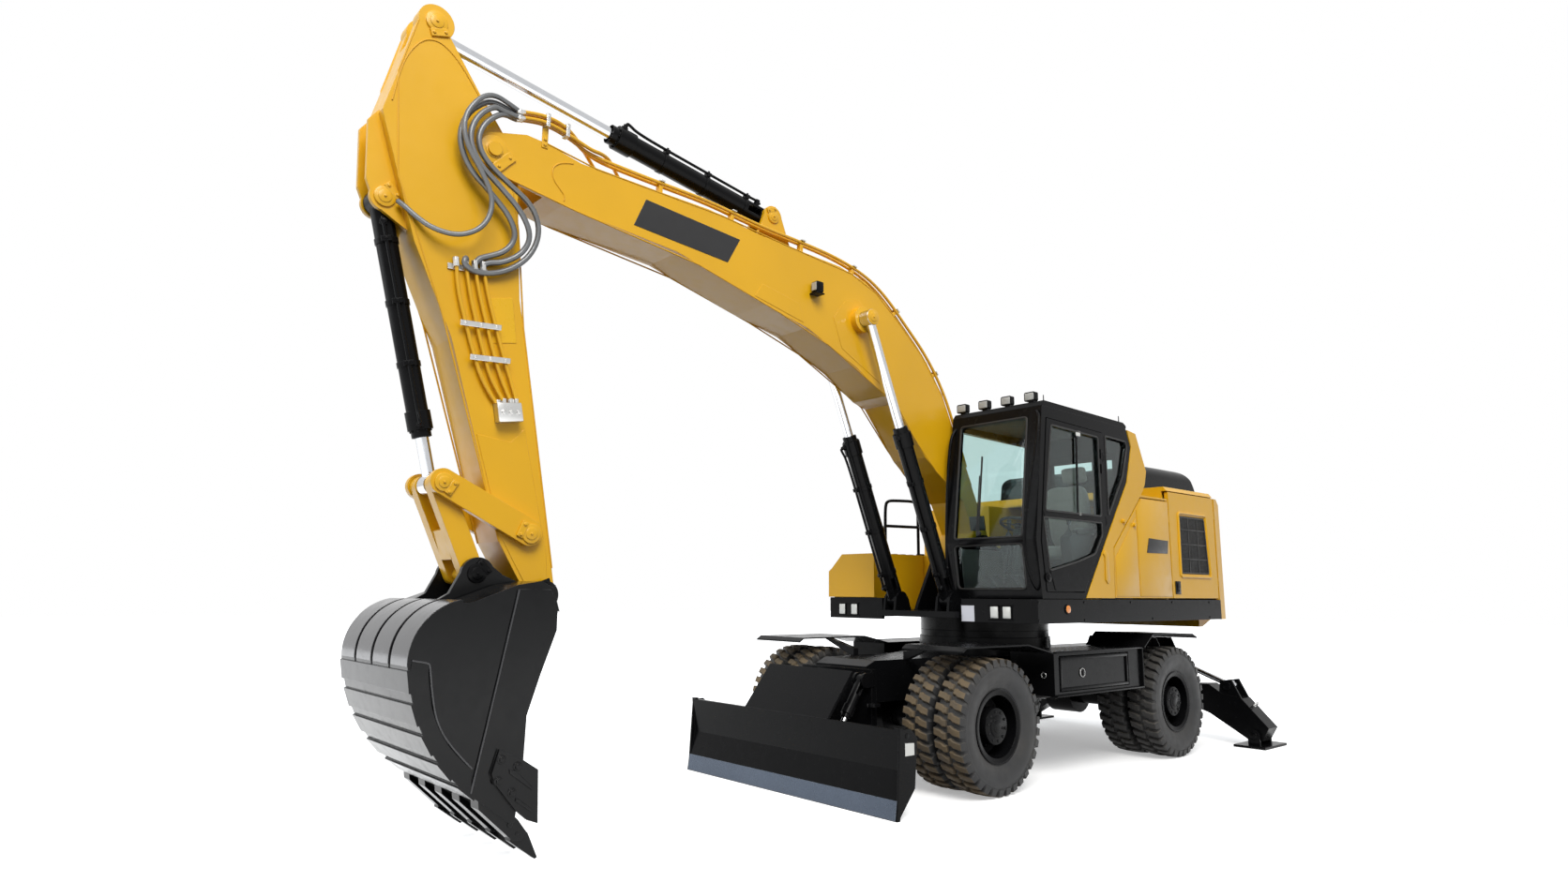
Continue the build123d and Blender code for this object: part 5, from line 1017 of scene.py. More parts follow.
door_trim = bmesh.new()
plate(door_trim, [(x, 1.232, z) for x, z in ((0.232, 2.280), (0.206, 2.280), (0.178, 3.018),
    (0.204, 3.018))], (0, 0.012, 0), 0.003)
plate(door_trim, [(x, 1.2445, z) for x, z in ((0.76, 2.225), (0.77, 2.262), (-0.17, 2.262),
    (-0.17, 2.225))], (0, 0.006, 0), 0.003)
for hinge_z in (2.72, 2.86):
    plate(door_trim, [(x, 1.2445, z) for x, z in ((-0.186, hinge_z - 0.045), (-0.212, hinge_z - 0.045),
        (-0.212, hinge_z + 0.045), (-0.186, hinge_z + 0.045))], (0, 0.014, 0), 0.005, 2)
disc(door_trim, (0.735, 1.2445, 1.700), (0, 1, 0), 0.042, 0.010, 28, 0.004)
disc(door_trim, (0.735, 1.2545, 1.700), (0, 1, 0), 0.024, 0.010, 20, 0.004)
plate(door_trim, [(x, 1.2445, z) for x, z in ((0.705, 1.76), (0.64, 1.60), (0.62, 1.59), (0.23, 1.59),
    (0.20, 1.61), (0.245, 1.62), (0.61, 1.62), (0.68, 1.765))], (0, 0.006, 0), 0.002)
finished(door_trim, "door_fittings", black_paint, "cab_door", 30)
catch = bmesh.new()
plate(catch, [(x, 1.240, z) for x, z in ((0.205, 2.985), (0.135, 2.985), (0.135, 3.035), (0.205, 3.035))],
    (0, 0.010, 0), 0.004)
plate(catch, [(x, 1.240, z) for x, z in ((0.205, 2.262), (0.175, 2.262), (0.175, 2.285), (0.205, 2.285))],
    (0, 0.010, 0), 0.003)
finished(catch, "sliding_pane_catch", lamp_white, "cab_door", 30)

# ---- operator's seat
# A sprung seat in grey-brown woven cloth: base cushion, leaning back and headrest, each a
# crowned pad, the cushion and back with sewn channels, on a bellows stand between two consoles.
weave, weave_in, weave_out = new_group(
    "woven_cloth",
    (("Color", "NodeSocketColor", (0.3, 0.3, 0.3, 1)), ("Thread Color", "NodeSocketColor",
    (0.2, 0.2, 0.2, 1)), ("Thread", "NodeSocketFloat", 900.0)),
    (("Color", "NodeSocketColor"), ("Height", "NodeSocketFloat")),
)
cloth_place = weave.nodes.new("ShaderNodeTexCoord").outputs["Object"]
crossing = []
for direction in ("X", "Y", "Z"):
    threads = weave.nodes.new("ShaderNodeTexWave")
    threads.bands_direction = direction
    threads.inputs["Distortion"].default_value = 0.4
    wire(weave, cloth_place, threads.inputs["Vector"])
    wire(weave, combine(weave, "DIVIDE", weave_in.outputs["Thread"], 6.28), threads.inputs["Scale"])
    crossing.append(threads.outputs["Fac"])
over = combine(weave, "ADD", combine(weave, "MULTIPLY", crossing[0], crossing[1]),
    combine(weave, "MULTIPLY", crossing[1], crossing[2]))
tint = remap(weave, combine(weave, "ADD", over, noise(weave, cloth_place, 30, 4)), 0.2, 1.7)
wire(weave, mixed(weave, tint, weave_in.outputs["Thread Color"], weave_in.outputs["Color"]),
    weave_out.inputs["Color"])
wire(weave, over, weave_out.inputs["Height"])


def cloth(name, color, thread_color, thread):
    """Woven cloth with a soft sheen."""
    made = bpy.data.materials.new(name)
    made.use_nodes = True
    tree = made.node_tree
    shader = tree.nodes["Principled BSDF"]
    group = tree.nodes.new("ShaderNodeGroup")
    group.node_tree = weave
    group.inputs["Color"].default_value = (*color, 1)
    group.inputs["Thread Color"].default_value = (*thread_color, 1)
    group.inputs["Thread"].default_value = thread
    bump = tree.nodes.new("ShaderNodeBump")
    bump.inputs["Distance"].default_value = 0.0008
    bump.inputs["Strength"].default_value = 0.6
    wire(tree, group.outputs["Height"], bump.inputs["Height"])
    wire(tree, group.outputs["Color"], shader.inputs["Base Color"])
    wire(tree, bump.outputs["Normal"], shader.inputs["Normal"])
    shader.inputs["Roughness"].default_value = 0.9
    shader.inputs["Sheen Weight"].default_value = 0.3
    return made


seat_cloth = cloth("seat_cloth", (0.36, 0.33, 0.30), (0.22, 0.20, 0.185), 2600)
seat_side_cloth = cloth("seat_side_cloth", (0.10, 0.098, 0.095), (0.055, 0.054, 0.052), 2600)


def cushion(name, centre, half, lean, crown, bolster, channels, material):
    """A stuffed pad: rounded block, crowned face, raised side bolsters and sewn channels."""
    pad = bmesh.new()
    bmesh.ops.create_cube(pad, size=2)
    bmesh.ops.subdivide_edges(pad, edges=pad.edges[:], cuts=23, use_grid_fill=True)
    for corner in pad.verts:
        u, v, w = corner.co
        size = (abs(u) ** 5 + abs(v) ** 5 + abs(w) ** 5) ** 0.2
        u, v, w = u / size, v / size, w / size
        pinch = 1 - 0.05 * (1 - abs(u * v))
        face = max(0.0, w)
        lift = crown * (1 - u * u) * (1 - v * v) + bolster * min(1.0,
            max(0.0, (abs(v) - 0.55) / 0.25)) * (1 - u**4)
        for channel in channels:
            lift -= 0.22 * max(0.0, 1 - abs(u - channel) / 0.07) ** 2 * (1 - min(1.0, abs(v) / 0.62) ** 6)
        corner.co = (u * half[0] * pinch, v * half[1] * pinch, (w + lift * face) * half[2])
    place_at = Matrix.Translation(centre) @ Matrix.Rotation(lean, 4, "Y")
    bmesh.ops.transform(pad, matrix=place_at, verts=pad.verts[:])
    made = finished(pad, name, material, "upper", 60)
    return made


seat_y = 0.725
cushion("seat_cushion", (-0.200, seat_y, 1.945), (0.262, 0.238, 0.058), 0.0, 0.25, 0.32, (-0.45, 0.0, 0.45),
    seat_cloth)
cushion("seat_back", (-0.468, seat_y, 2.310), (0.315, 0.228, 0.052), radians(101.3), 0.25, 0.40,
    (-0.5, -0.05, 0.4), seat_cloth)
cushion("headrest", (-0.570, seat_y, 2.735), (0.082, 0.128, 0.042), radians(101.3), 0.35, 0.0, (),
    seat_cloth)
for side in (-1, 1):
    cushion(f"armrest_{'left' if side > 0 else 'right'}", (-0.22, seat_y + side * 0.292, 2.150),
        (0.165, 0.036, 0.026), 0.06, 0.2, 0.0, (), seat_side_cloth)

controls = bmesh.new()
for level in range(6):
    spread = 0.178 if level % 2 else 0.160
    plate(controls, [(-0.23 + a * spread, seat_y + b * spread, 1.62 + level * 0.043) for a,
        b in ((-1, -1), (1, -1), (1, 1), (-1, 1))], (0, 0, 0.043), 0.012, 2)
plate(controls, [(-0.23 + a * 0.19, seat_y + b * 0.19, 1.581) for a,
    b in ((-1, -1), (1, -1), (1, 1), (-1, 1))], (0, 0, 0.040), 0.006)
for side in (-1, 1):
    console_y = seat_y + side * 0.330
    plate(
        controls,
        [(x, console_y - 0.055, z) for x, z in ((-0.44, 1.80), (0.13, 1.80), (0.165, 2.07), (0.120, 2.105),
        (-0.34, 2.105), (-0.42, 2.06))],
        (0, 0.110, 0), 0.012, 3,
    )
    plate(controls, [(x, console_y - 0.030, z) for x, z in ((-0.27, 1.585), (-0.03, 1.585), (-0.05, 1.81),
        (-0.25, 1.81))], (0, 0.060, 0), 0.008)
    plate(controls, [(x, console_y + y, 2.103) for x, y in ((-0.30, -0.035), (-0.02, -0.035),
        (-0.02, 0.035), (-0.30, 0.035))], (0, 0, 0.008), 0.003)
    for switch in range(6):
        plate(
            controls,
            [(-0.285 + switch * 0.042 + x, console_y + y, 2.110) for x,
            y in ((0, -0.014), (0.028, -0.014), (0.028, 0.014), (0, 0.014))],
            (0, 0, 0.008), 0.002,
        )
    for ring in range(4):
        disc(controls, (0.090, console_y, 2.100 + ring * 0.014), (0, 0, 1), 0.040 - ring * 0.007, 0.014, 24,
            0.004, 0.036 - ring * 0.007)
    disc(controls, (0.090, console_y, 2.150), (-0.08, 0, 1), 0.009, 0.060, 16)
    disc(controls, (0.085, console_y, 2.190), (-0.12, side * -0.05, 1), 0.018, 0.085, 20, 0.008, 0.023)
for post_y in (-0.07, 0.07):
    disc(controls, (-0.545, seat_y + post_y, 2.600), (-0.2, 0, 1), 0.007, 0.100, 12)
# steering column with its boot, wheel with three spokes, monitor and pedals
plate(controls, [(x, seat_y - 0.045, z) for x, z in ((0.600, 1.580), (0.485, 1.580), (0.425, 1.82),
    (0.345, 2.120), (0.385, 2.165), (0.420, 2.150), (0.50, 1.86))], (0, 0.090, 0), 0.014, 3)
wheel_turn = Matrix.Translation((0.370, seat_y, 2.190)) @ Vector((-0.35, 0, 1)).to_track_quat("Z",
    "Y").to_matrix().to_4x4()
up_wheel = (wheel_turn.to_3x3() @ Vector((0, 0, 1))).normalized()
rim_points = [wheel_turn @ Vector((0.177 + 0.0135 * cos(tau * k / 10), 0, 0.0135 * sin(tau * k / 10)))
    for k in range(10)]
spun(controls, rim_points, wheel_turn @ Vector((0, 0, 0)), up_wheel, 48)
disc(controls, wheel_turn @ Vector((0, 0, -0.03)), up_wheel, 0.048, 0.036, 28, 0.008)
for spoke in range(3):
    turned = wheel_turn @ Matrix.Rotation(tau * spoke / 3 + 0.5, 4, "Z")
    plate(controls, [turned @ Vector(c) for c in ((0.03, -0.016, -0.008), (0.168, -0.011, -0.004),
        (0.168, 0.011, -0.004), (0.03, 0.016, -0.008))], up_wheel * 0.008, 0.003)
plate(controls, [(0.640, 0.385, 2.14), (0.640, 0.545, 2.14), (0.662, 0.545, 2.27), (0.662, 0.385, 2.27)],
    (0.028, 0, -0.005), 0.006, 2)
disc(controls, (0.672, 0.465, 1.98), (0, 0, 1), 0.011, 0.17, 16)
for pedal_y in (0.56, 0.66, 0.80, 0.90):
    plate(controls, [(0.56, pedal_y - 0.035, 1.61), (0.56, pedal_y + 0.035, 1.61),
        (0.70, pedal_y + 0.035, 1.72), (0.70, pedal_y - 0.035, 1.72)], (-0.006, 0, 0.010), 0.003)
for pedal_y in (0.695, 0.765):
    disc(controls, (0.60, pedal_y, 1.66), (-0.2, 0, 1), 0.008, 0.34, 12)
    disc(controls, (0.535, pedal_y, 1.985), (-0.2, 0, 1), 0.017, 0.05, 16, 0.008)
controls_piece = finished(controls, "seat_stand_and_controls", cab_trim, "upper", 35)
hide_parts("seat_and_controls")

# lining, mat and blind: trimmed boards on the rear wall, right wall and ceiling
lining_grey = finish("lining_board", (0.06, 0.058, 0.055), (0.12, 0.12, 0.11), 0.08, 0.1, 0.75, 0.6)
lining = bmesh.new()
plate(lining, [(-0.706, y, z) for y, z in ((0.33, 1.60), (1.12, 1.60), (1.12, 2.26), (0.33, 2.26))],
    (0.012, 0, 0), 0.005)
plate(lining, [(x, 0.317, z) for x, z in ((-0.69, 1.60), (0.70, 1.60), (0.735, 1.97), (-0.69, 1.97))],
    (0, 0.010, 0), 0.004)
plate(lining, [(x, 1.125, z) for x, z in ((-0.69, 1.60), (0.14, 1.60), (-0.24, 2.10), (-0.69, 2.64))],
    (0, -0.010, 0), 0.004)
plate(lining, [(x, y, 3.140) for x, y in ((-0.62, 0.33), (0.64, 0.33), (0.64, 1.12), (-0.62, 1.12))],
    (0, 0, -0.014), 0.006)
finished(lining, "cab_lining", lining_grey, "upper", 30)
mat = bmesh.new()
plate(mat, [(x, y, 1.581) for x, y in ((-0.70, 0.32), (0.76, 0.32), (0.76, 1.13), (-0.70, 1.13))],
    (0, 0, 0.008), 0.003)
for rib in range(26):
    rib_x = 0.12 + rib * 0.022
    plate(mat, [(rib_x, 0.36, 1.588), (rib_x + 0.008, 0.36, 1.588), (rib_x + 0.008, 1.09, 1.588),
        (rib_x, 1.09, 1.588)], (0, 0, 0.004))
finished(mat, "floor_mat", seal_rubber, "upper", 30)

# ---- body panels
# Pressed steel doors and covers in yellow enamel: a raised door skin, a slotted rib on the pillar,
# rubber stops, a black mesh grille in a folded frame over a black sheet of painted shade, cup latches
# and a blank name plate.
mesh_black = finish("mesh_black", (0.012, 0.012, 0.012), (0.05, 0.05, 0.05), 0.06, 0.3, 0.5, 0.3)


def patch(mesh, corners, face_y, thick, round_off=0.004):
    """A raised patch on a side face, given in x and z; thick is negative on the right-hand side."""
    plate(mesh, [(x, face_y, z) for x, z in corners], (0, thick, 0), round_off, 2)


def bar_loop(name, corners, face_y, radius, material, body, soft=0.05):
    """A rolled frame round an opening in a side face."""
    return loop(name, [(x, face_y, z) for x, z in corners], radius, material, body, soft)


front_skin = bmesh.new()
patch(front_skin, ((-0.800, 2.380), (-0.800, 1.545), (-1.422, 1.545), (-1.422, 2.482), (-0.905, 2.482)),
    1.2445, 0.005)
patch(front_skin, ((-0.375, 1.900), (-0.365, 1.545), (-0.780, 1.545), (-0.780, 2.300)), 1.2445, 0.004)
disc(front_skin, (-0.735, 1.247, 2.225), (0, 1, 0), 0.020, 0.024, 20, 0.005)
finished(front_skin, "left_front_door_skin", yellow_paint, "left_front_door", 30)
pillar_trim = bmesh.new()
disc(pillar_trim, (-0.545, 1.2445, 2.250), (0, 1, 0), 0.020, 0.024, 20, 0.005)
patch(pillar_trim, ((-0.150, 1.930), (-0.190, 1.965), (-0.245, 1.935), (-0.250, 1.690), (-0.215, 1.655),
    (-0.180, 1.690), (-0.185, 1.900)), 1.2445, 0.010, 0.005)
finished(pillar_trim, "pillar_trim", yellow_paint, "upper", 30)
name_plate = bmesh.new()
patch(name_plate, ((-1.005, 2.110), (-1.385, 2.098), (-1.365, 1.970), (-0.955, 1.966)), 1.2490, 0.006,
    0.003)
finished(name_plate, "blank_name_plate", blank_plate, "left_front_door", 30)

opening = ((-1.650, 1.775), (-1.660, 2.370), (-2.220, 2.370), (-2.270, 1.775))
for side, body in ((1, "left_rear_door"), (-1, "right_rear_door")):
    face = side * 1.245
    bar_loop(f"{body}_grille_frame", ((-1.628, 1.748), (-1.640, 2.398), (-2.238, 2.398), (-2.293, 1.748)),
        face + side * 0.001, 0.014, yellow_paint, body, 0.06)
    # black sheet behind the wires: painted shade standing in for the dark space inside the grille
    painted_shade_sheet = bmesh.new()
    patch(painted_shade_sheet, opening, side * 1.234, side * 0.001, 0.0)
    finished(painted_shade_sheet, f"{body}_grille_painted_shade", seal_rubber, body, 30)
    mesh_wires = bmesh.new()
    for wire_at in range(48):
        share = (wire_at + 0.5) / 48
        low_x, high_x = -1.650 - 0.620 * share, -1.660 - 0.560 * share
        patch(mesh_wires, ((low_x, 1.776), (high_x, 2.369), (high_x - 0.0035, 2.369),
            (low_x - 0.0035, 1.776)), side * 1.2362, side * 0.002, 0.0)
        z = 1.775 + 0.595 * share
        reach_x = -2.270 + 0.050 * share
        patch(mesh_wires, ((-1.651, z), (reach_x + 0.002, z), (reach_x + 0.002, z + 0.0035),
            (-1.651, z + 0.0035)), side * 1.2375, side * 0.002, 0.0)
    finished(mesh_wires, f"{body}_grille_mesh", mesh_black, body, 30)
    ribs = bmesh.new()
    for z in (1.925, 2.075, 2.225):
        patch(ribs, ((-1.652, z), (-2.262 + 0.09 * (z - 1.775), z),
            (-2.262 + 0.09 * (z - 1.775), z + 0.012), (-1.652, z + 0.012)), side * 1.2385, side * 0.004,
                0.001)
    for x in (-1.855, -2.055):
        patch(ribs, ((x, 1.777), (x - 0.002, 2.368), (x + 0.010, 2.368), (x + 0.012, 1.777)), side * 1.2385,
            side * 0.004, 0.001)
    bar_loop(f"{body}_grille_edge", ((-1.661, 1.788), (-1.671, 2.358), (-2.210, 2.358), (-2.257, 1.788)),
        side * 1.2395, 0.008, mesh_black, body, 0.05)
    finished(ribs, f"{body}_grille_ribs", mesh_black, body, 30)
    latch = bmesh.new()
    patch(latch, ((-1.492, 1.572), (-1.492, 1.700), (-1.602, 1.700), (-1.602, 1.572)), face + side * 0.003,
        side * 0.004, 0.003)
    patch(latch, ((-1.520, 1.590), (-1.520, 1.682), (-1.574, 1.682), (-1.574, 1.590)), face + side * 0.007,
        side * 0.007, 0.005)
    disc(latch, (-1.547, face + side * 0.014, 1.606), (0, side, 0), 0.009, 0.004, 16, 0.001)
    finished(latch, f"{body}_latch", black_paint, body, 30)

# ---- engine hood trim
# A lift handle at the back and a rubber strip along the hood's foot, black like the hood.
hood_trim = bmesh.new()
for side in (1, -1):
    plate(hood_trim, [(-1.60, side * 0.897, 2.660), (-2.78, side * 0.897, 2.660),
        (-2.78, side * 0.897, 2.676), (-1.60, side * 0.897, 2.676)], (0, side * 0.010, 0), 0.003)
finished(hood_trim, "hood_trim", black_paint, "hood", 30)
bead_run("hood_handle", [[(-2.795, -0.12, 2.700), (-2.835, -0.12, 2.700), (-2.840, -0.08, 2.700),
    (-2.840, 0.08, 2.700), (-2.835, 0.12, 2.700), (-2.795, 0.12, 2.700)]], 0.010, black_paint, "hood", 3)

# ---- skirt lamps, plates and rear lights
# Working lamps and marker lamps set in dark recesses of the skirt, an amber side marker, a blank
# white card in front and red rear lamps in the counterweight.
recess = bmesh.new()
white = bmesh.new()
for lamp_y in (0.84, 0.97, -0.86, -1.03):
    plate(white, [(0.951, lamp_y + y, 1.400 + z) for y, z in ((-0.040, -0.050), (0.040, -0.050),
        (0.040, 0.050), (-0.040, 0.050))], (0.010, 0, 0), 0.005, 2)
    loop(f"lamp_bezel_{'left' if lamp_y > 0 else 'right'}_{int(abs(lamp_y) * 100)}",
        [(0.955, lamp_y + y, 1.400 + z) for y, z in ((-0.046, -0.056), (0.046, -0.056), (0.046, 0.056),
            (-0.046, 0.056))], 0.006, black_paint, "upper", 0.02)
finished(white, "skirt_lamps", lamp_white, "upper", 30)
for low_y, high_y in ((0.775, 1.035), (-1.095, -0.795)):
    for a, b in (((low_y, 1.335), (high_y, 1.345)), ((low_y, 1.455), (high_y, 1.465))):
        plate(recess, [(0.951, a[0], a[1]), (0.951, b[0], a[1]), (0.951, b[0], b[1]), (0.951, a[0], b[1])],
            (0.012, 0, 0), 0.003)
finished(recess, "lamp_recess_edges", black_paint, "upper", 30)
card = bmesh.new()
plate(card, [(0.953, y, z) for y, z in ((0.484, 1.316), (0.625, 1.316), (0.625, 1.455), (0.484, 1.455))],
    (0.002, 0, 0), 0.0005)
finished(card, "blank_card", finish("card_white", (0.72, 0.73, 0.80), (0.8, 0.8, 0.8), 0.05, 0.1, 0.6, 0.2),
    "upper", 30)
amber = bmesh.new()
for side in (1, -1):
    disc(amber, (0.468, side * 1.250, 1.430), (0, side, 0), 0.034, 0.014, 28, 0.006)
finished(amber, "amber_markers", lamp_amber, "upper", 30)
red = bmesh.new()
for side in (1, -1):
    plate(red, [(-2.700, side * y, z) for y, z in ((0.86, 1.60), (1.02, 1.60), (1.02, 1.70), (0.86, 1.70))],
        (-0.012, side * -0.002, 0), 0.006, 2)
finished(red, "rear_lamps", lamp_red, "upper", 30)
marker_rings = bmesh.new()
for side in (1, -1):
    spun(marker_rings, [(0.468 + 0.033, side * 1.249, 1.430), (0.468 + 0.045, side * 1.249, 1.430),
        (0.468 + 0.042, side * 1.259, 1.430), (0.468 + 0.034, side * 1.259, 1.430)],
            (0.468, side * 1.25, 1.430), (0, 1, 0), 32)
skirt_bolts = ((0.90, 1.34), (0.90, 1.49), (0.20, 1.49), (-0.60, 1.49), (-1.40, 1.49), (-2.20, 1.49),
    (0.20, 1.335), (-1.00, 1.335), (-2.20, 1.335))
for side in (1, -1):
    for x, z in skirt_bolts:
        disc(marker_rings, (x, side * 1.2495, z), (0, side, 0), 0.011, 0.006, 6, 0.002)
finished(marker_rings, "skirt_bolts", black_paint, "upper", 30)
cw_trim = bmesh.new()
for side in (1, -1):
    disc(cw_trim, (-2.62, side * 0.62, 2.595), (0, 0, 1), 0.045, 0.022, 24, 0.008)
    disc(cw_trim, (-2.62, side * 0.62, 2.615), (0, 0, 1), 0.022, 0.016, 6, 0.004)
    plate(cw_trim, [(-2.55, side * 0.40, 2.60), (-2.55, side * 0.43, 2.60), (-2.66, side * 0.43, 2.60),
        (-2.66, side * 0.40, 2.60)], (0, 0, 0.075), 0.012, 2)
finished(cw_trim, "counterweight_fittings", yellow_paint, "upper", 30)

# ---- right-hand tanks and rail
# Filler caps, raised panels on the tank and tool-case sides, tread strips on the steps and the bent
# tube rail beside the walkway.
caps = bmesh.new()
for cap_x, cap_z in ((-0.22, 1.945), (-1.00, 2.495)):
    disc(caps, (cap_x, -1.00, cap_z), (0, 0, 1), 0.062, 0.020, 32, 0.006)
    disc(caps, (cap_x, -1.00, cap_z + 0.018), (0, 0, 1), 0.048, 0.026, 12, 0.008)
for tread_x in (0.30, 0.42, 0.54, 0.66, 0.78):
    plate(caps, [(tread_x, -0.64, 1.948), (tread_x + 0.05, -0.64, 1.948), (tread_x + 0.05, -1.02, 1.948),
        (tread_x, -1.02, 1.948)], (0, 0, 0.008), 0.003)
finished(caps, "filler_caps_and_treads", black_paint, "upper", 30)
tank_panels = bmesh.new()
for low_x, high_x, high_z in ((-0.545, 0.165, 1.870), (-1.400, -0.600, 2.425)):
    patch(tank_panels, ((low_x, 1.545), (high_x, 1.545), (high_x, high_z), (low_x, high_z)), -1.2445,
        -0.005)
patch(tank_panels, ((0.235, 1.540), (0.915, 1.540), (0.915, 1.765), (0.235, 1.765)), -1.2445, -0.006)
finished(tank_panels, "tank_panels", yellow_paint, "upper", 30)
bead_run(
    "walkway_rail",
    [
        [(0.705, -0.66, 1.945), (0.705, -0.66, 2.20), (0.702, -0.66, 2.44), (0.665, -0.66, 2.495),
            (0.50, -0.66, 2.505), (0.25, -0.66, 2.515),
         (0.205, -0.66, 2.47), (0.202, -0.66, 2.24), (0.202, -0.66, 1.945)],
        [(0.705, -0.66, 2.235), (0.45, -0.66, 2.240), (0.202, -0.66, 2.245)],
    ],
    0.016, black_paint, "upper", 3,
)

# ---- undercarriage fittings
# The ring of slew bolts, the drain tap, the trim and latch rim of both tool-box doors, and four
# short hoses at the blade cylinders. Black enamel with plated bolts.
under = bmesh.new()
for bolt in range(40):
    turn_to = tau * bolt / 40
    disc(under, (0.596 * cos(turn_to), 0.596 * sin(turn_to), 1.1555), (0, 0, -1), 0.012, 0.010, 6)
disc(under, (-1.64, 0.0, 0.40), (0, 0, -1), 0.016, 0.10, 12, 0.003)
disc(under, (-1.64, -0.03, 0.315), (0, 1, 0), 0.011, 0.06, 12, 0.003)
finished(under, "frame_bolts", bare_steel, "chassis", 30)

for side, body in ((1, "toolbox_door_left"), (-1, "toolbox_door_right")):
    low, high = (Vector(corner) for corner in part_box(body))
    face = high.y if side > 0 else low.y
    width, height = high.x - low.x, high.z - low.z
    trim = bmesh.new()
    for z in (low.z + 0.004, high.z - 0.030):
        plate(
            trim, [(low.x + 0.012, face - side * 0.001, z), (high.x - 0.012, face - side * 0.001, z),
                (high.x - 0.012, face - side * 0.001, z + 0.026),
                   (low.x + 0.012, face - side * 0.001, z + 0.026)],
            (0, side * 0.014, 0), 0.004, 2,
        )
    for x in (low.x + 0.010, high.x - 0.034):
        plate(
            trim, [(x, face - side * 0.001, low.z + 0.03), (x + 0.024, face - side * 0.001, low.z + 0.03),
                (x + 0.024, face - side * 0.001, high.z - 0.03),
                   (x, face - side * 0.001, high.z - 0.03)],
            (0, side * 0.012, 0), 0.004, 2,
        )
    middle = Vector((low.x + width * 0.68, face, low.z + height * 0.50))
    disc(trim, middle, (0, side, 0), 0.034, 0.006, 28, 0.003)
    plate(trim, [middle + Vector((a, side * 0.006, b)) for a,
        b in ((-0.012, -0.020), (0.012, -0.020), (0.012, 0.020), (-0.012, 0.020))], (0, side * 0.008, 0),
            0.003)
    finished(trim, f"{body}_trim", black_paint, body, 30)
    rim = bmesh.new()
    spun(rim, [middle + Vector((0.034, side * b, 0)) + Vector((a, 0, 0)) for a,
        b in ((0, 0.0), (0.006, 0.0), (0.005, 0.006), (0.001, 0.007))], middle, (0, 1, 0), 36)
    finished(rim, f"{body}_latch_rim", clamp_steel, body, 30)

blade_hose_runs = [
    [(2.046, side * y, 0.905), (2.066, side * y, 0.905), (2.078, side * (y + 0.012), 0.880),
        (2.086, side * (y + 0.024), 0.835), (2.094, side * (y + 0.030), 0.800)]
    for side in (1, -1) for y in (0.325, 0.352)
]
bead_run("blade_hoses", blade_hose_runs, 0.009, hose_black, "chassis", 3)

# ---- bucket and blade dress
# Heavy welded plate, sprayed glossy black. Four bolts hold each side cutter, a pin locks each tooth,
# weld beads run round the wear plates, and the cutting edge is steel with a painted bluish sheen.
plate_enamel = finish(
    "plate_enamel", (0.005, 0.0052, 0.0057), (0.06, 0.062, 0.066), 0.01, 0.7, 0.16, 0.15, gloss=0.17
)
# cutting-edge steel: partly a real steel strip, partly a bluish tint that paints in a bluish reflected
# sheen
edge_steel_sheen = finish("edge_steel_sheen", (0.085, 0.105, 0.140), (0.35, 0.37, 0.40), 0.05, 0.6, 0.24, 0.5,
    metallic=0.8)
seam_black = finish("seam_black", (0.03, 0.03, 0.033), (0.10, 0.10, 0.11), 0.02, 0.8, 0.25, 0.9, gloss=0.5)
for cad_slot in nodes["bucket"].material_slots:
    cad_slot.material = plate_enamel

strip_y, cutter_y, tooth_face = 0.608, 0.632, 0.054
tooth_rows = [(row - 2) * 0.2725 for row in range(5)]
fittings = bmesh.new()
for side in (1, -1):
    for bolt_x, bolt_z in ((5.282, 0.609), (5.184, 0.562), (5.295, 0.494), (5.210, 0.422)):
        disc(fittings, (bolt_x, side * (cutter_y - 0.002), bolt_z), (0, side, 0), 0.027, 0.006, 24, 0.002)
        disc(fittings, (bolt_x, side * (cutter_y + 0.004), bolt_z), (0, side, 0), 0.018, 0.014, 6, 0.003)
    plate(
        fittings, [(x, side * (cutter_y - 0.002), z) for x, z in ((5.232, 0.552), (5.190, 0.535),
            (5.085, 0.436), (5.092, 0.422), (5.232, 0.528))],
        (0, side * 0.011, 0), 0.003,
    )
    plate(
        fittings, [(x, side * (cutter_y - 0.002), z) for x, z in ((5.190, 0.372), (5.086, 0.300),
            (5.078, 0.312), (5.182, 0.392))],
        (0, side * 0.010, 0), 0.003,
    )
for row in tooth_rows:
    for side in (1, -1):
        disc(fittings, (5.196, row + side * (tooth_face - 0.002), 0.240), (0, side, 0), 0.017, 0.008, 16,
            0.003)
        disc(fittings, (5.150, row + side * (tooth_face - 0.002), 0.185), (0, side, 0), 0.010, 0.006, 12,
            0.002)
finished(fittings, "bucket_fittings", plate_enamel, "bucket", 30)

seams = [[(x, side * strip_y, z) for x, z in run] for side in (1, -1) for run in (
    ((5.218, 1.556), (5.262, 1.330), (5.330, 0.985), (5.386, 0.705), (5.440, 0.440)),
    ((5.812, 1.173), (5.760, 1.164), (5.719, 1.155), (5.712, 1.140), (5.690, 0.985), (5.655, 0.835),
    (5.565, 0.695), (5.440, 0.572)),
)]
seams += [[(x, side * 0.226, z) for x, z in ((4.965, 1.452), (5.080, 1.466), (5.300, 1.482), (5.440, 1.492),
    (5.580, 1.480))] for side in (1, -1)]
bead_run("bucket_welds", seams, 0.006, seam_black, "bucket", 3)
bead_run("lip_welds", [[(5.148, -0.596, 0.286), (5.148, 0.596, 0.286)],
    [(5.394, -0.596, 0.442), (5.394, 0.596, 0.442)]], 0.007, seam_black, "bucket")
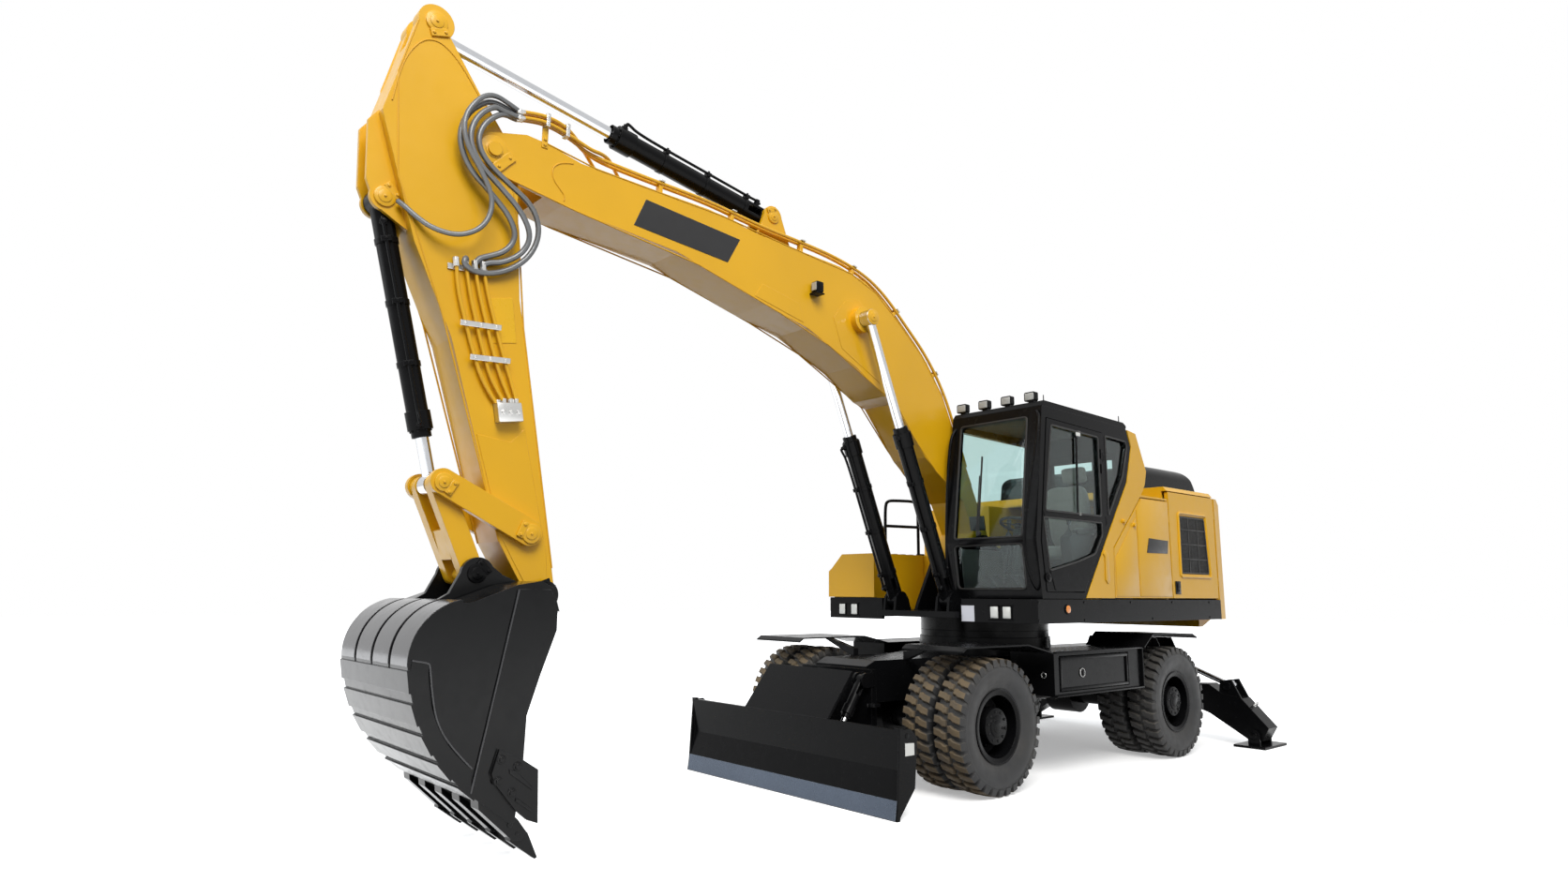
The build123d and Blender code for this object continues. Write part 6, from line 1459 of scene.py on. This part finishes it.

# thin grey metal skins over the glossy black straps: a painted highlight standing in for the straps' bright
# reflections
strap_highlight_metal = finish("strap_highlight_metal", (0.13, 0.13, 0.135), (0.4, 0.4, 0.4), 0.04, 0.5, 0.17, 0.4,
    metallic=0.85)
strap_width, strap_pitch = 0.2745, 0.3085
strap_centre, strap_radius = (5.4921, 1.1643), 0.3401
strap_low, strap_turn = -0.0708, 1.4452
strap_highlight_skins = bmesh.new()
for row in range(4):
    middle_y = (row - 1.5) * strap_pitch
    corners = [
        (strap_centre[0] + (strap_radius + a) * cos(strap_low), middle_y + b,
            strap_centre[1] + (strap_radius + a) * sin(strap_low))
        for a, b in ((0.0, -strap_width / 2 + 0.004), (0.0, strap_width / 2 - 0.004),
            (0.002, strap_width / 2 - 0.006), (0.002, -strap_width / 2 + 0.006))
    ]
    first = strap_highlight_skins.faces.new([strap_highlight_skins.verts.new(corner) for corner in corners])
    bmesh.ops.spin(
        strap_highlight_skins, geom=[first, *first.edges, *first.verts], cent=(strap_centre[0], middle_y, strap_centre[1]),
            axis=(0, -1, 0),
        dvec=(0, 0, 0), angle=strap_turn, steps=20,
    )
finished(strap_highlight_skins, "bucket_strap_highlight_skins", strap_highlight_metal, "bucket", 30)

# steel cutting edge whose bluish tint paints in the sheen along the blade's foot
edge_strip = bmesh.new()
plate(
    edge_strip, [(2.6705, -1.236, 0.004), (2.6705, 1.236, 0.004), (2.6525, 1.236, 0.136),
        (2.6525, -1.236, 0.136)],
    (0.006, 0, 0.001), 0.002,
)
finished(edge_strip, "blade_cutting_edge", edge_steel_sheen, "blade", 30)
blade_dress = bmesh.new()
for side in (1, -1):
    disc(blade_dress, (2.558, side * 1.249, 0.562), (0, side, 0), 0.019, 0.004, 24, 0.001)
    plate(blade_dress, [(2.600, side * 1.200, 0.607), (2.636, side * 1.200, 0.607),
        (2.636, side * 1.252, 0.607), (2.600, side * 1.252, 0.607)], (0, 0, 0.012), 0.002)
    for pin_x, pin_z, face_y, radius in ((2.110, 0.420, 0.280, 0.045), (2.440, 0.380, 0.451, 0.036)):
        disc(blade_dress, (pin_x, side * (face_y - 0.003), pin_z), (0, side, 0), radius, 0.014, 28, 0.004)
finished(blade_dress, "blade_fittings", black_paint, "blade", 30)
card = bmesh.new()
plate(card, [(2.580, 1.2495, 0.515), (2.484, 1.2495, 0.508), (2.484, 1.2495, 0.426),
    (2.580, 1.2495, 0.426)], (0, 0.002, 0))
finished(card, "blade_blank_card", lamp_white, "blade", 30)

# ---- tool-box step and outrigger fittings
# The tool box hangs in a folded channel with a lip top and bottom; a plug closes its front end.
# Each outrigger leg has capped pins and a lifting eye; its foot pin has capped ends with a bolt head.
channel = bmesh.new()
for side in (1, -1):
    face = side * 1.198
    for low, high, reach in ((1.058, 1.074, 0.030), (0.696, 0.712, 0.030)):
        plate(channel, [(-0.820, face, low), (0.630, face, low), (0.630, face, high), (-0.820, face, high)],
            (0, side * reach, 0), 0.004, 2)
    plate(channel, [(-0.820, face, 0.712), (-0.806, face, 0.712), (-0.806, face, 1.058),
        (-0.820, face, 1.058)], (0, side * 0.030, 0), 0.003)
    disc(channel, (0.629, side * 1.100, 0.873), (1, 0, 0), 0.026, 0.010, 28, 0.003)
finished(channel, "tool_box_channel", black_paint, "chassis", 30)
plugs = bmesh.new()
for side in (1, -1):
    spun(plugs, [(0.638 + a, side * 1.100 + b, 0.873) for a,
        b in ((0.0, 0.019), (0.0, 0.026), (0.004, 0.025), (0.004, 0.020))], (0.638, side * 1.100, 0.873),
            (1, 0, 0), 32)
finished(plugs, "tool_box_plug_rims", clamp_steel, "chassis", 30)

for name, side in (("left", 1), ("right", -1)):
    leg_dress = bmesh.new()
    for end in (1, -1):
        disc(leg_dress, (-2.80 + end * 0.100, side * 1.150, 0.600), (end, 0, 0), 0.046, 0.014, 28, 0.004)
    eye = [
        (-2.80 + 0.036 * cos(tau * step / 20), side * (1.393 + 0.026 * sin(tau * step / 20)),
            0.416 + 0.024 * sin(tau * step / 20))
        for step in range(21)
    ]
    finished(leg_dress, f"outrigger_leg_fittings_{name}", black_paint, f"outrigger_leg_{name}", 30)
    bead_run(f"outrigger_lifting_eye_{name}", [eye], 0.010, clamp_steel, f"outrigger_leg_{name}")
    pad_dress = bmesh.new()
    for end in (1, -1):
        disc(pad_dress, (-2.80 + end * 0.147, side * 1.415, 0.115), (end, 0, 0), 0.040, 0.010, 28, 0.004)
        disc(pad_dress, (-2.80 + end * 0.157, side * 1.415, 0.115), (end, 0, 0), 0.012, 0.008, 6, 0.002)
    finished(pad_dress, f"outrigger_pad_fittings_{name}", black_paint, f"outrigger_pad_{name}", 30)

# ---- boom lamp
# A square work lamp bolted under a bent bracket on the left cheek of the boom.
lamp_case = bmesh.new()
plate(lamp_case, [(2.450, 0.204, 4.060), (2.545, 0.204, 4.060), (2.545, 0.204, 4.072),
    (2.450, 0.204, 4.072)], (0, 0.090, 0), 0.002)
plate(lamp_case, [(2.455, 0.215, 4.078), (2.535, 0.215, 4.078), (2.535, 0.215, 4.170),
    (2.455, 0.215, 4.170)], (0, 0.075, 0), 0.010, 3)
finished(lamp_case, "boom_lamp_case", black_paint, "boom", 30)
lamp_front = bmesh.new()
plate(lamp_front, [(2.534, 0.223, 4.088), (2.534, 0.282, 4.088), (2.534, 0.282, 4.160),
    (2.534, 0.223, 4.160)], (0.006, 0, 0), 0.003)
finished(lamp_front, "boom_lamp_lens", lamp_lens, "boom", 30)
